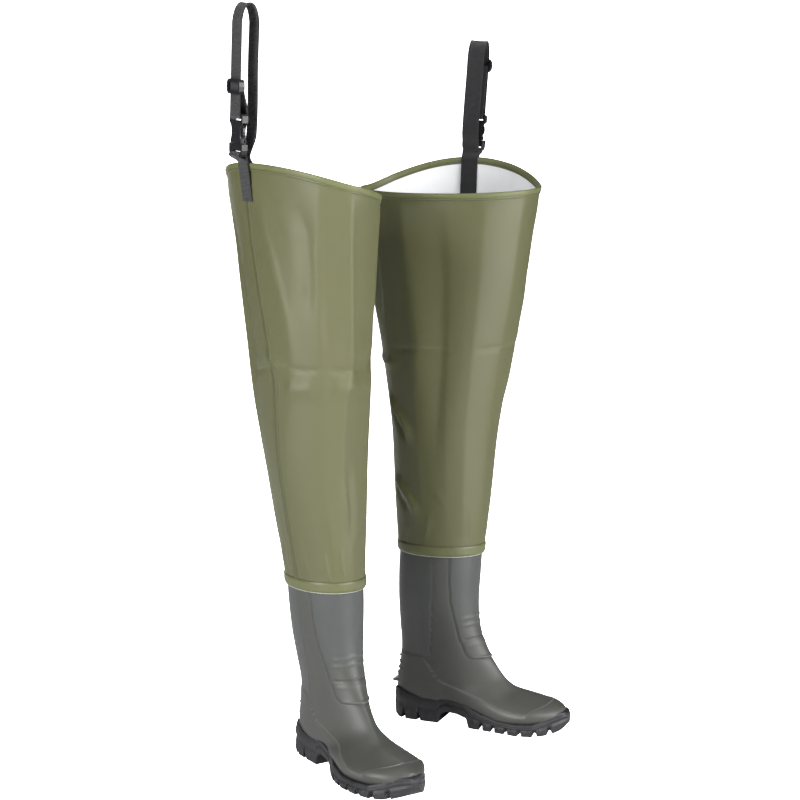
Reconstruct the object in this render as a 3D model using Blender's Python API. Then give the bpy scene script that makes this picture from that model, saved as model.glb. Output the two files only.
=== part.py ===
"""A pair of hip waders standing side by side, for Blender 4.5. Metres, +Z up, toes towards -Y.

Each wader is a moulded boot with a lugged outsole, a tube of coated fabric welded over the boot's top,
a folded top hem, and a webbing loop that hangs it from the wearer's belt. The loop closes with a
side-release buckle and is adjusted with a slider.

A wader is laid out in its own directions: "fwd" towards its toe, "out" away from the other leg, and z.
"""

import math

import bmesh
import bpy
from mathutils import Vector

# Stance and frame
STANCE = 0.252                 # between the two ankles, across the wearer
TOE_OUT = math.radians(17)
ORIGIN_SHIFT = 0.0266          # puts the middle of the pair's depth on the origin
GAP = 0.0003                   # between pieces that touch on the real object
SIDES = {"right": -1, "left": 1}

# Boot
SOLE_LENGTH = 0.290
HEEL_BACK = -0.075             # heel end of the sole, behind the ankle's middle
SHELL_WALL = 0.0028
LINING_WALL = 0.0015
INSOLE_THICK = 0.005
SHAFT_TOP = 0.275

# Fabric leg
FABRIC = 0.0012
WELD_BOTTOM = 0.267            # lower edge of the fabric, over the boot's top
WELD_BAND_HIGH = 0.016
KNEE_LOW, KNEE_HIGH = 0.46, 0.58
RIM_OUTER, RIM_INNER = 0.8715, 0.8205
RIM_FRONT = {"right": 0.841, "left": 0.8285}
RIM_CURVE = {"right": 1.25, "left": 2.0}
HEM_HIGH = 0.010
HEM_THICK = 0.0009
SEAM_WIDE = 0.008
SEAM_THICK = 0.0008
OUTER_SIDE = math.radians(90)
# (height, degrees from the front) of the seam, which wanders round the outer side
SEAM_WANDER = [
    (0.26, 83), (0.37, 82), (0.475, 79), (0.55, 76), (0.60, 80), (0.69, 87), (0.76, 91), (0.88, 92),
]
AROUND_LEG, AROUND_BOOT = 32, 20   # shared by nested skins, so their facets stay parallel
LEG_ROWS = [0.283, 0.300, 0.340, 0.380, 0.420, 0.460, 0.500, 0.540, 0.580, 0.620, 0.660, 0.700, 0.740, 0.780]

# Strap, of 27 mm webbing
WEBBING_WIDE, WEBBING = 0.027, 0.0015
PATCH_LONG = 0.052
HINGE_Z = 0.877
STRAP_LEAN = math.radians(4.2)  # towards the toe
INNER_RUN_OUT, OUTER_RUN_OUT = 0.1265, 0.1530
LOOP_TOP = {"right": 1.087, "left": 1.053}
SLIDER_Z = {"right": 0.975, "left": 1.015}

# Side-release buckle
BUCKLE_WIDE = 0.036
BUCKLE_IN, BUCKLE_OUT = 0.1425, 0.1513
PLUG_Z0, PLUG_Z1 = 0.881, 0.899
PRONG_TOP = 0.925
SOCKET_Z0, SOCKET_Z1 = PLUG_Z1 + GAP, 0.9385
SLOT_HIGH = 0.0045

# (height, middle outwards, half width, half depth) of the leg's fabric, smooth in between
LEG_RINGS = [
    (0.262, 0.011, 0.0530, 0.068),
    (0.300, 0.014, 0.0540, 0.071),
    (0.380, 0.020, 0.0620, 0.076),
    (0.460, 0.026, 0.0700, 0.082),
    (0.540, 0.030, 0.0745, 0.094),
    (0.620, 0.034, 0.0770, 0.108),
    (0.700, 0.038, 0.0800, 0.122),
    (0.780, 0.041, 0.0840, 0.134),
    (0.880, 0.045, 0.0898, 0.152),
]

# The boot is a row of cross-sections from the shaft's top to the toe. Each one is hung between a point on
# the front or instep and a point on the back or sole:
# (front fwd, front z, back fwd, back z, half width, middle outwards, flatness underfoot)
BOOT_RINGS = [
    (0.0655, 0.275, -0.0655, 0.275, 0.0505, 0.0120, 1.0),
    (0.0640, 0.235, -0.0670, 0.235, 0.0490, 0.0095, 1.0),
    (0.0625, 0.195, -0.0665, 0.190, 0.0455, 0.0070, 1.0),
    (0.0650, 0.160, -0.0640, 0.150, 0.0400, 0.0050, 1.0),
    (0.0710, 0.138, -0.0610, 0.115, 0.0365, 0.0030, 1.0),
    (0.0790, 0.121, -0.0620, 0.085, 0.0350, 0.0025, 0.9),
    (0.0880, 0.105, -0.0660, 0.056, 0.0345, 0.0020, 0.8),
    (0.0985, 0.090, -0.0630, 0.036, 0.0345, 0.0015, 0.7),
    (0.1090, 0.077, -0.0400, 0.025, 0.0350, 0.0010, 0.6),
    (0.1200, 0.067, 0.0100, 0.026, 0.0370, 0.0010, 0.55),
    (0.1340, 0.0575, 0.0550, 0.024, 0.0445, 0.0035, 0.55),
    (0.1580, 0.0520, 0.1000, 0.012, 0.0515, 0.0035, 0.55),
    (0.1780, 0.0485, 0.1400, 0.010, 0.0490, 0.0015, 0.55),
    (0.1920, 0.0455, 0.1740, 0.011, 0.0370, 0.0010, 0.6),
    (0.2020, 0.0410, 0.1960, 0.014, 0.0230, 0.0005, 0.8),
    (0.2070, 0.0380, 0.2055, 0.019, 0.0090, 0.0000, 1.0),
]

# (fwd, middle outwards, half width, underside z, top edge z) of the outsole, heel to toe
SOLE_RINGS = [
    (-0.0685, 0.0015, 0.0120, 0.0130, 0.0430),
    (-0.0640, 0.0015, 0.0220, 0.0040, 0.0465),
    (-0.0550, 0.0015, 0.0300, 0.0000, 0.0440),
    (-0.0400, 0.0010, 0.0350, 0.0000, 0.0400),
    (-0.0150, 0.0010, 0.0365, 0.0000, 0.0360),
    (0.0120, 0.0010, 0.0370, 0.0000, 0.0380),
    (0.0165, 0.0010, 0.0370, 0.0150, 0.0405),
    (0.0260, 0.0010, 0.0375, 0.0200, 0.0410),
    (0.0450, 0.0015, 0.0405, 0.0190, 0.0385),
    (0.0610, 0.0015, 0.0435, 0.0150, 0.0345),
    (0.0655, 0.0015, 0.0445, 0.0000, 0.0330),
    (0.0850, 0.0045, 0.0500, 0.0000, 0.0250),
    (0.1150, 0.0050, 0.0545, 0.0000, 0.0190),
    (0.1450, 0.0020, 0.0555, 0.0000, 0.0180),
    (0.1700, 0.0010, 0.0490, 0.0000, 0.0190),
    (0.1850, 0.0010, 0.0380, 0.0010, 0.0240),
    (0.1960, 0.0005, 0.0290, 0.0030, 0.0310),
    (0.2060, 0.0000, 0.0190, 0.0070, 0.0340),
    (0.2120, 0.0000, 0.0120, 0.0120, 0.0340),
    (0.2150, 0.0000, 0.0060, 0.0180, 0.0310),
]
LUG_DEEP = 0.005
LUG_GROOVE = 0.005
LUG_GROOVES_AT = [-0.044, -0.018, 0.084, 0.104, 0.126, 0.148, 0.170]

# (name, colour, roughness, metallic)
FINISHES = {
    "green_fabric": ((0.215, 0.215, 0.095), 0.42, 0.0),
    "grey_boot": ((0.115, 0.120, 0.105), 0.50, 0.0),
    "black_sole": ((0.030, 0.030, 0.033), 0.60, 0.0),
    "white_lining": ((0.800, 0.810, 0.830), 0.85, 0.0),
    "black_webbing": ((0.025, 0.025, 0.027), 0.80, 0.0),
    "black_plastic": ((0.030, 0.030, 0.032), 0.35, 0.0),
    "grey_insole": ((0.200, 0.200, 0.200), 0.90, 0.0),
}


def clear_scene():
    for item in list(bpy.data.objects):
        bpy.data.objects.remove(item)


def finish(name):
    """The material of that name, made once."""
    found = bpy.data.materials.get(name)
    if found:
        return found
    colour, roughness, metallic = FINISHES[name]
    material = bpy.data.materials.new(name)
    material.use_nodes = True
    shader = material.node_tree.nodes["Principled BSDF"]
    shader.inputs["Base Color"].default_value = (*colour, 1)
    shader.inputs["Roughness"].default_value = roughness
    shader.inputs["Metallic"].default_value = metallic
    return material


def place(side, fwd, out, z):
    """A point of one wader, in the pair's own frame."""
    sign = SIDES[side]
    sine, cosine = math.sin(TOE_OUT), math.cos(TOE_OUT)
    x = sign * (STANCE / 2 + fwd * sine + out * cosine)
    y = -fwd * cosine + out * sine + ORIGIN_SHIFT
    return Vector((x, y, z))


def hung(side, fwd, out, z):
    """A point of the strap, which leans towards the toe from where it leaves the hem."""
    rise = z - HINGE_Z
    sine, cosine = math.sin(STRAP_LEAN), math.cos(STRAP_LEAN)
    return place(side, fwd * cosine + rise * sine, out, HINGE_Z + rise * cosine - fwd * sine)


def build(name, bm, material, smooth=True, wall=None):
    """Turns a bmesh into an object. With a wall, the mesh is a sheet and gets that thickness about its middle."""
    bmesh.ops.remove_doubles(bm, verts=bm.verts, dist=1e-6)
    bmesh.ops.recalc_face_normals(bm, faces=bm.faces)
    mesh = bpy.data.meshes.new(name)
    bm.to_mesh(mesh)
    bm.free()
    if smooth:
        mesh.shade_smooth()
        mesh.set_sharp_from_angle(angle=math.radians(40))
    mesh.materials.append(finish(material))
    made = bpy.data.objects.new(name, mesh)
    bpy.context.scene.collection.objects.link(made)
    if wall:
        solidify = made.modifiers.new("wall", "SOLIDIFY")
        solidify.thickness = wall
        solidify.offset = 0
    return made


def boolean(target, other, operation="DIFFERENCE"):
    """Cuts, joins or keeps the overlap with a helper object, which is left out of the build."""
    other.hide_render = True
    other.display_type = "WIRE"
    step = target.modifiers.new(other.name, "BOOLEAN")
    step.operation = operation
    step.object = other


def mapped_grid(columns, rows, point):
    """A grid whose every corner is moved to point(across, along), both from 0 to 1."""
    bm = bmesh.new()
    bmesh.ops.create_grid(bm, x_segments=columns, y_segments=rows, size=0.5)
    for vert in bm.verts:
        vert.co = point(vert.co.x + 0.5, vert.co.y + 0.5)
    return bm


def smooth_between(rings, at):
    """Catmull-Rom through the rows of a table, by its first column. It runs straight out of both ends."""
    first = [2 * a - b for a, b in zip(rings[0], rings[1])]
    final = [2 * a - b for a, b in zip(rings[-1], rings[-2])]
    rows = [first, *rings, final]
    k = max(i for i in range(1, len(rows) - 2) if i == 1 or rows[i][0] <= at)
    before, low, high, after = rows[k - 1:k + 3]
    t = (at - low[0]) / (high[0] - low[0])
    values = []
    for a, b, c, d in zip(before[1:], low[1:], high[1:], after[1:]):
        bend = 2 * a - 5 * b + 4 * c - d + t * (3 * b - a - 3 * c + d)
        values.append(b + 0.5 * t * (c - a + t * bend))
    return values


# ---------------------------------------------------------------- fabric leg

def rim_height(side, angle):
    """Top edge of the fabric: highest on the outer side, where the strap is sewn."""
    sine = math.sin(angle)
    front = RIM_FRONT[side]
    if sine > 0:
        return front + (RIM_OUTER - front) * sine ** RIM_CURVE[side]
    return front + (RIM_INNER - front) * abs(sine)


def seam_angle(z):
    return math.radians(smooth_between(SEAM_WANDER, z)[0])


def leg_point(side, angle, z, offset=0.0):
    """On the fabric's middle surface, or offset outwards. Angle 0 is the front and 90 degrees the outer side."""
    middle, half_width, half_depth = smooth_between(LEG_RINGS, z)
    fwd = (half_depth + offset) * math.cos(angle)
    out = middle + (half_width + offset) * math.sin(angle)
    return place(side, fwd, out, z)


def heights(low, high):
    """The rows of a sheet: its own two edges, and the shared heights between them."""
    return [low] + [z for z in LEG_ROWS if low + 0.002 < z < high - 0.002] + [high]


def fabric_sheet(side, start, end, columns, low, high, offset=0.0):
    """A patch of the leg's surface between two angles and two heights, which may depend on the angle."""
    rows = len(heights(low(start), high(start))) - 1

    def point(across, along):
        angle = start + (end - start) * across
        z = heights(low(angle), high(angle))[round(along * rows)]
        return leg_point(side, angle, z, offset)
    return mapped_grid(columns, rows, point)


def leg_lengths(side):
    """The length that stays with the shin, the length that creases at the knee, and the length above it."""
    return {
        "shin": (lambda a: WELD_BOTTOM, lambda a: KNEE_LOW - GAP / 2),
        "knee": (lambda a: KNEE_LOW + GAP / 2, lambda a: KNEE_HIGH - GAP / 2),
        "thigh": (lambda a: KNEE_HIGH + GAP / 2, lambda a: rim_height(side, a)),
    }


def make_leg(side):
    """The fabric, rolled into a tube and joined down the outer side, in its three lengths."""
    for length, (low, high) in leg_lengths(side).items():
        bm = fabric_sheet(side, 0, 2 * math.pi, AROUND_LEG, low, high)
        build(f"{side}_{length}_fabric", bm, "green_fabric", wall=FABRIC)


def make_seam_tape(side):
    """The tape welded over the join, from the weld band to the strap's patch."""
    offset = FABRIC / 2 + GAP + SEAM_THICK / 2
    for length, (low, high) in leg_lengths(side).items():
        start = low(OUTER_SIDE) + (WELD_BAND_HIGH + GAP if length == "shin" else 0)
        end = high(OUTER_SIDE) - (PATCH_LONG + 2 * GAP if length == "thigh" else 0)
        rows = heights(start, end)

        def point(across, along, rows=rows):
            z = rows[round(along * (len(rows) - 1))]
            half = SEAM_WIDE / 2 / smooth_between(LEG_RINGS, z)[2]
            return leg_point(side, seam_angle(z) + half * (2 * across - 1), z, offset)
        tape = mapped_grid(2, len(rows) - 1, point)
        build(f"{side}_{length}_seam_tape", tape, "green_fabric", wall=SEAM_THICK)


def make_weld_band(side):
    """The folded end of the fabric, welded round the boot's top."""
    offset = FABRIC / 2 + GAP + FABRIC / 2
    top = WELD_BOTTOM + WELD_BAND_HIGH
    bm = fabric_sheet(side, 0, 2 * math.pi, AROUND_LEG, lambda a: WELD_BOTTOM, lambda a: top, offset)
    build(f"{side}_weld_band", bm, "green_fabric", wall=FABRIC)


def make_top_hem(side):
    """The binding folded over the top edge: an upside-down U, outside and inside the fabric."""
    inner = FABRIC / 2 + GAP
    outer = inner + HEM_THICK
    profile = [
        (outer, -HEM_HIGH), (outer, HEM_THICK + GAP), (-outer, HEM_THICK + GAP), (-outer, -HEM_HIGH),
        (-inner, -HEM_HIGH), (-inner, GAP), (inner, GAP), (inner, -HEM_HIGH),
    ]

    def point(across, along):
        angle = 2 * math.pi * across
        offset, rise = profile[round(along * len(profile)) % len(profile)]
        return leg_point(side, angle, rim_height(side, angle) + rise, offset)
    build(f"{side}_top_hem", mapped_grid(AROUND_LEG, len(profile), point), "green_fabric")


def make_strap_patches(side):
    """The two ends of the webbing, sewn down outside and inside the top of the outer seam."""
    half = WEBBING_WIDE / 2 / smooth_between(LEG_RINGS, RIM_OUTER)[2]
    start, end = OUTER_SIDE - half, OUTER_SIDE + half
    offset = FABRIC / 2 + HEM_THICK + 2 * GAP + WEBBING / 2
    for name, direction, drop in (("outer", 1, 0), ("inner", -1.15, 0.006)):
        bm = fabric_sheet(
            side, start, end, 4,
            lambda a, drop=drop: RIM_OUTER - PATCH_LONG - drop,
            lambda a: RIM_OUTER - 0.001, direction * offset,
        )
        build(f"{side}_{name}_strap_patch", bm, "black_webbing", wall=WEBBING)


# ---------------------------------------------------------------- boot

def boot_form(side, offset=0.0, top_drop=0.0):
    """The boot's outer surface, open at the top, or the same surface moved along its normals."""
    rows = len(BOOT_RINGS) - 1

    def point(across, along):
        ring = BOOT_RINGS[round(along * rows)]
        front_fwd, front_z, back_fwd, back_z, half_width, middle, flat = ring
        angle = 2 * math.pi * across
        cosine, sine = math.cos(angle), math.sin(angle)
        share = cosine if cosine > 0 else -abs(cosine) ** flat
        fwd = (front_fwd + back_fwd) / 2 + (front_fwd - back_fwd) / 2 * share
        z = (front_z + back_z) / 2 + (front_z - back_z) / 2 * share
        bulge = 1.6 - 0.6 * flat if cosine > 0 else 0.5 + flat / 2
        wide = math.copysign(abs(sine) ** bulge, sine)
        return place(side, fwd, middle + half_width * wide, z)
    bm = mapped_grid(AROUND_BOOT, rows, point)
    bmesh.ops.remove_doubles(bm, verts=bm.verts, dist=1e-6)
    toe = [e for e in bm.edges if e.is_boundary and e.verts[0].co.z < SHAFT_TOP / 2]
    bmesh.ops.contextual_create(bm, geom=toe)
    bmesh.ops.triangulate(bm, faces=bm.faces)
    bmesh.ops.recalc_face_normals(bm, faces=bm.faces)
    probe = max(bm.faces, key=lambda f: f.calc_center_median().z)
    ankle = place(side, 0, BOOT_RINGS[0][5], probe.calc_center_median().z)
    if probe.normal.dot(probe.calc_center_median() - ankle) < 0:
        bmesh.ops.reverse_faces(bm, faces=bm.faces)
    bm.normal_update()
    moves = [(v, v.normal * offset * v.calc_shell_factor()) for v in bm.verts]
    for vert, move in moves:
        on_top = abs(vert.co.z - SHAFT_TOP) < 1e-5
        vert.co += Vector((move.x, move.y, 0)) if on_top else move
        vert.co.z -= top_drop if on_top else 0
    return bm


def boot_skin(side, outer, inner, top_drop=0.0):
    """A closed shell between two offsets of the boot's form, joined by a rim at the top."""
    bm = boot_form(side, outer, top_drop)
    inside = boot_form(side, inner, top_drop)
    bmesh.ops.reverse_faces(inside, faces=inside.faces)
    spare = bpy.data.meshes.new("spare")
    inside.to_mesh(spare)
    inside.free()
    bm.from_mesh(spare)
    bpy.data.meshes.remove(spare)
    rim = [e for e in bm.edges if e.is_boundary]
    bmesh.ops.bridge_loops(bm, edges=rim)
    return bm


def closed_form(side, offset):
    """The boot's form as one solid, for cutting and for trimming."""
    bm = boot_form(side, offset, -0.01)
    bmesh.ops.contextual_create(bm, geom=[e for e in bm.edges if e.is_boundary])
    return bm


def box(name, side, fwd, out, z, material="black_plastic", at=place):
    """A block between two values in each of the wader's directions."""
    bm = bmesh.new()
    bmesh.ops.create_cube(bm, size=1)
    for vert in bm.verts:
        share = vert.co + Vector((0.5, 0.5, 0.5))
        vert.co = at(
            side,
            fwd[0] + (fwd[1] - fwd[0]) * share.x,
            out[0] + (out[1] - out[0]) * share.y,
            z[0] + (z[1] - z[0]) * share.z,
        )
    return build(name, bm, material, smooth=False)


def make_boot(side):
    build(f"{side}_boot_shell", boot_skin(side, 0, -SHELL_WALL), "grey_boot")
    lining_outer = -SHELL_WALL - 2 * GAP
    lining = boot_skin(side, lining_outer, lining_outer - LINING_WALL, 0.004)
    build(f"{side}_boot_lining", lining, "white_lining")
    inside = -SHELL_WALL - LINING_WALL - 4 * GAP
    insole = build(f"{side}_insole", closed_form(side, inside), "grey_insole")
    bed = 0.026 + SHELL_WALL + LINING_WALL + 5 * GAP
    slab = box(f"{side}_insole_slab", side, (-0.1, 0.25), (-0.1, 0.1), (bed, bed + INSOLE_THICK))
    boolean(insole, slab, "INTERSECT")


def make_outsole(side):
    """A tray that the boot sits in, arched under the waist, with cross grooves between its lugs."""
    edge, lip = 0.93, 0.0015

    def point(across, along):
        fwd, middle, half, low, high = SOLE_RINGS[round(along * (len(SOLE_RINGS) - 1))]
        corners = [
            (-half * edge, low), (half * edge, low), (half, low + 0.005), (half, high - 0.004),
            (half - lip, high), (-half + lip, high), (-half, high - 0.004), (-half, low + 0.005),
        ]
        out, z = corners[round(across * len(corners)) % len(corners)]
        return place(side, fwd, middle + out, z)
    bm = mapped_grid(8, len(SOLE_RINGS) - 1, point)
    bmesh.ops.remove_doubles(bm, verts=bm.verts, dist=1e-6)
    ends = [e for e in bm.edges if e.is_boundary]
    bmesh.ops.holes_fill(bm, edges=ends, sides=0)
    outsole = build(f"{side}_outsole", bm, "black_sole", smooth=False)
    boolean(outsole, build(f"{side}_boot_cutter", closed_form(side, GAP), "black_sole"))
    for k, fwd in enumerate(LUG_GROOVES_AT):
        groove = box(
            f"{side}_groove_cutter_{k}", side,
            (fwd - LUG_GROOVE / 2, fwd + LUG_GROOVE / 2), (-0.07, 0.07), (-0.002, LUG_DEEP),
        )
        boolean(outsole, groove)


# ---------------------------------------------------------------- strap and buckle

def ribbon(name, side, route):
    """Webbing that follows a route of (out, z) points."""
    def point(across, along):
        out, z = route[round(along * (len(route) - 1))]
        return hung(side, (across - 0.5) * WEBBING_WIDE, out, z)
    return build(name, mapped_grid(1, len(route) - 1, point), "black_webbing", wall=WEBBING)


def arc(middle_out, middle_z, radius_out, radius_z, start, end, steps):
    """Points of a part of an ellipse, angles in degrees, 0 being outwards and 90 up."""
    points = []
    for k in range(steps + 1):
        angle = math.radians(start + (end - start) * k / steps)
        points.append((middle_out + radius_out * math.cos(angle), middle_z + radius_z * math.sin(angle)))
    return points


def make_strap(side):
    """One webbing loop, in the run that rises from inside the wader and the run that comes down to the buckle."""
    top = LOOP_TOP[side] - WEBBING / 2
    middle = (INNER_RUN_OUT + OUTER_RUN_OUT) / 2
    radius = (OUTER_RUN_OUT - INNER_RUN_OUT) / 2
    rise = 0.030
    apex = 90 + math.degrees(GAP / radius)
    inner = [(0.1358, 0.8815), (0.1350, 0.886), (0.1320, 0.894), (0.1285, 0.903), (INNER_RUN_OUT, 0.914)]
    inner += arc(middle, top - rise, radius, rise, 180, apex, 8)
    ribbon(f"{side}_strap_inner_run", side, inner)

    bar_middle = (BUCKLE_IN + BUCKLE_OUT) / 2
    turn_z = SOCKET_Z1 - 0.004
    back_out = 2 * bar_middle - OUTER_RUN_OUT
    outer = arc(middle, top - rise, radius, rise, 180 - apex, 0, 8)
    outer += arc(bar_middle, turn_z, OUTER_RUN_OUT - bar_middle, 0.0023, 0, -180, 8)
    outer += [(back_out, SOCKET_Z1 + 0.0005)]
    ribbon(f"{side}_strap_outer_run", side, outer)

    tail_top = SLIDER_Z[side] - 0.001
    ribbon(f"{side}_strap_tail", side, [
        (back_out, SOCKET_Z1 + 0.0005 + GAP), (back_out + 0.001, SOCKET_Z1 + 0.010),
        (OUTER_RUN_OUT - 0.0062, tail_top - 0.008), (OUTER_RUN_OUT - 0.0062, tail_top),
    ])


def outline_plate(name, side, outline, out, material="black_plastic"):
    """A flat piece of the given (fwd, z) outline, between two distances outwards."""
    bm = bmesh.new()
    face = bm.faces.new([bm.verts.new(hung(side, fwd, out[0], z)) for fwd, z in outline])
    grown = bmesh.ops.extrude_face_region(bm, geom=[face])
    move = place(side, 0, out[1], 0) - place(side, 0, out[0], 0)
    bmesh.ops.translate(bm, vec=move, verts=[v for v in grown["geom"] if isinstance(v, bmesh.types.BMVert)])
    return build(name, bm, material, smooth=False)


def both_halves(points):
    """An outline from the points of its right half, listed from the bottom up."""
    return points + [(-fwd, z) for fwd, z in reversed(points)]


def make_plug(side):
    """The half sewn to the wader: a base with a webbing slot, and a flat guide tongue."""
    half = BUCKLE_WIDE / 2
    tongue = 0.004
    base = both_halves([
        (half - 0.005, PLUG_Z0), (half - 0.001, PLUG_Z0 + 0.004), (half, PLUG_Z0 + 0.009),
        (half, PLUG_Z1 - 0.001), (half - 0.002, PLUG_Z1),
    ])
    plug = outline_plate(f"{side}_buckle_plug", side, base, (BUCKLE_IN, BUCKLE_OUT))
    middle = (BUCKLE_IN + BUCKLE_OUT) / 2
    tongue_outline = both_halves([(tongue, PLUG_Z1 - 0.002), (tongue, PRONG_TOP - 0.003), (tongue - 0.001, PRONG_TOP - 0.001)])
    tongue_piece = outline_plate(f"{side}_tongue_form", side, tongue_outline, (middle - 0.0018, middle + 0.0018))
    boolean(plug, tongue_piece, "UNION")
    slot = (PLUG_Z0 + 0.0035, PLUG_Z0 + 0.0035 + SLOT_HIGH)
    hole = box(f"{side}_plug_slot_cutter", side, (-0.0141, 0.0141), (BUCKLE_IN - 0.002, BUCKLE_OUT + 0.002), slot, at=hung)
    boolean(plug, hole)
    # the webbing that ties the plug's bar to the patch
    turn = slot[0]
    reach = OUTER_RUN_OUT - middle
    tab = [(middle - reach, PLUG_Z0 + 0.0003)]
    tab += arc(middle, turn, reach, 0.0023, 180, 0, 8)
    tab += [(middle + reach, PLUG_Z0 + 0.0003)]
    ribbon(f"{side}_buckle_tab", side, tab)


def make_prongs(side):
    """The two springy arms that snap into the socket; each bends inwards when squeezed."""
    middle = (BUCKLE_IN + BUCKLE_OUT) / 2
    for name, sign in (("front", 1), ("rear", -1)):
        low = PLUG_Z1 + GAP
        outline = [
            (0.0090, low), (0.0128, low), (0.0134, 0.9055), (0.0160, 0.9105), (0.0166, 0.9150),
            (0.0158, 0.9200), (0.0118, PRONG_TOP), (0.0094, 0.9235), (0.0086, 0.9120),
        ]
        outline = [(sign * fwd, z) for fwd, z in outline]
        outline_plate(f"{side}_buckle_prong_{name}", side, outline, (middle - 0.0019, middle + 0.0019))


def make_socket(side):
    """The half on the adjustable run: two cheeks with the prongs' cavity between them, and a webbing slot."""
    half = BUCKLE_WIDE / 2
    middle = (BUCKLE_IN + BUCKLE_OUT) / 2
    outline = both_halves([
        (0.0140, SOCKET_Z0), (0.0146, 0.9025), (0.0128, 0.9065), (0.0116, 0.9120), (0.0120, 0.9180),
        (0.0140, 0.9235), (half, 0.9270), (half, SOCKET_Z1 - 0.002), (half - 0.002, SOCKET_Z1),
    ])
    socket = outline_plate(f"{side}_buckle_socket", side, outline, (BUCKLE_IN, BUCKLE_OUT))
    cavity = box(
        f"{side}_socket_cavity_cutter", side, (-0.03, 0.03),
        (middle - 0.0022, middle + 0.0022), (SOCKET_Z0 - 0.01, PRONG_TOP + 0.001), at=hung,
    )
    boolean(socket, cavity)
    slot_top = SOCKET_Z1 - 0.0040
    slot = box(
        f"{side}_socket_slot_cutter", side, (-0.0141, 0.0141),
        (BUCKLE_IN - 0.002, BUCKLE_OUT + 0.002), (slot_top - SLOT_HIGH, slot_top), at=hung,
    )
    boolean(socket, slot)


def make_slider(side):
    """A three-bar slide: two bars in front of the webbing, one behind it, and a rail at each side."""
    z = SLIDER_Z[side]
    half, tall = BUCKLE_WIDE / 2, 0.010
    front, back = OUTER_RUN_OUT + 0.0042, OUTER_RUN_OUT - 0.0042
    outline = both_halves([
        (half - 0.004, z - tall), (half - 0.0008, z - tall + 0.004), (half, z),
        (half - 0.0008, z + tall - 0.004), (half - 0.004, z + tall),
    ])
    slider = outline_plate(f"{side}_slider", side, outline, (back, front))
    through = 0.0142
    play = WEBBING / 2 + GAP
    tunnel = box(
        f"{side}_slider_tunnel_cutter", side, (-through, through),
        (back - 0.01, OUTER_RUN_OUT + play), (z - 0.02, z + 0.02), at=hung,
    )
    window = box(
        f"{side}_slider_window_cutter", side, (0.0003 - through, through - 0.0003),
        (OUTER_RUN_OUT - 0.002, front + 0.01), (z - 0.0052, z + 0.0052), at=hung,
    )
    bar = box(
        f"{side}_slider_bar", side, (-through - 0.0008, through + 0.0008),
        (back + 0.0006, OUTER_RUN_OUT - play), (z - 0.0030, z + 0.0030), at=hung,
    )
    boolean(slider, tunnel)
    boolean(slider, window)
    boolean(slider, bar, "UNION")


def main():
    clear_scene()
    for side in SIDES:
        make_boot(side)
        make_outsole(side)
        make_leg(side)
        make_seam_tape(side)
        make_weld_band(side)
        make_top_hem(side)
        make_strap_patches(side)
        make_strap(side)
        make_plug(side)
        make_prongs(side)
        make_socket(side)
        make_slider(side)


main()
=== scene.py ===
"""A pair of hip waders standing side by side. Metres, +Z up, toes towards -Y.

Each wader is laid out in its own directions: "fwd" towards its toe, "out" away from the other leg, and z.
"""

import math

import bmesh
import bpy
import numpy as np
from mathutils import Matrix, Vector, noise


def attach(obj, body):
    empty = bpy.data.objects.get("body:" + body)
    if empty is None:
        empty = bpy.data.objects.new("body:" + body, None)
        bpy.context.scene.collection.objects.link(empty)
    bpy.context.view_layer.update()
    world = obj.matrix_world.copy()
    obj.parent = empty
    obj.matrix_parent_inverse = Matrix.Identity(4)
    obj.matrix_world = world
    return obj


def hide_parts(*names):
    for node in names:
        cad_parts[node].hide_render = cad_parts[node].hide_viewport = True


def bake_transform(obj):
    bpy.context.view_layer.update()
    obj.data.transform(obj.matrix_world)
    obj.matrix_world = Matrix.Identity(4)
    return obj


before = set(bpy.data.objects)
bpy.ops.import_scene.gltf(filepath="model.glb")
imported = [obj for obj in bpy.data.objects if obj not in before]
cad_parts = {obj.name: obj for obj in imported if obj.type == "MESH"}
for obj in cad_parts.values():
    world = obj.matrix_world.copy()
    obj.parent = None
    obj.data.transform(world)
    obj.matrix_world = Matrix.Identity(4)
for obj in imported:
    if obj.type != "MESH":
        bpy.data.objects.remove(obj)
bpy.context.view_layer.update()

# ---------------------------------------------------------------- studio
# The pair stands on a pale paper sweep that curves up behind it, between two tall softboxes and under an
# overhead one, and is seen from a little above its right wader's outer side.
camera_lens = bpy.data.cameras.new("camera")
camera_lens.lens = 83.6
camera_lens.sensor_width = 36
camera = bpy.data.objects.new("camera", camera_lens)
camera.location = (-2.1064, -1.7072, 0.9314)
camera.rotation_euler = (math.radians(81.395), 0, math.radians(-50.946))
bpy.context.scene.collection.objects.link(camera)
bpy.context.scene.camera = camera


def softbox(name, at, towards, size, power, colour=(1, 1, 1)):
    """A rectangular studio light, aimed at a point."""
    lamp = bpy.data.lights.new(name, "AREA")
    lamp.shape = "RECTANGLE"
    lamp.size, lamp.size_y = size
    lamp.energy = power
    lamp.color = colour
    made = bpy.data.objects.new(name, lamp)
    made.location = at
    made.rotation_euler = (Vector(towards) - Vector(at)).to_track_quat("-Z", "Y").to_euler()
    bpy.context.scene.collection.objects.link(made)


softbox("left_softbox", (-3.0, 0.10, 1.2), (-0.1, 0, 0.55), (0.7, 2.2), 94)
softbox("right_softbox", (0.7, -2.9, 1.2), (0.1, 0, 0.5), (1.0, 2.2), 36)
softbox("middle_softbox", (0.1, -3.0, 1.2), (0.1, 0, 0.5), (1.0, 2.2), 44)
softbox("near_softbox", (-0.6, -2.9, 1.2), (0.1, 0, 0.5), (1.0, 2.2), 40)
softbox("overhead_softbox", (-0.5, -0.6, 2.9), (0, 0, 0.5), (1.8, 1.8), 14)
softbox("rear_softbox", (1.7, 2.4, 1.3), (0, 0, 0.5), (1.2, 1.6), 40)
bpy.context.scene.view_settings.view_transform = "Standard"

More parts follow.
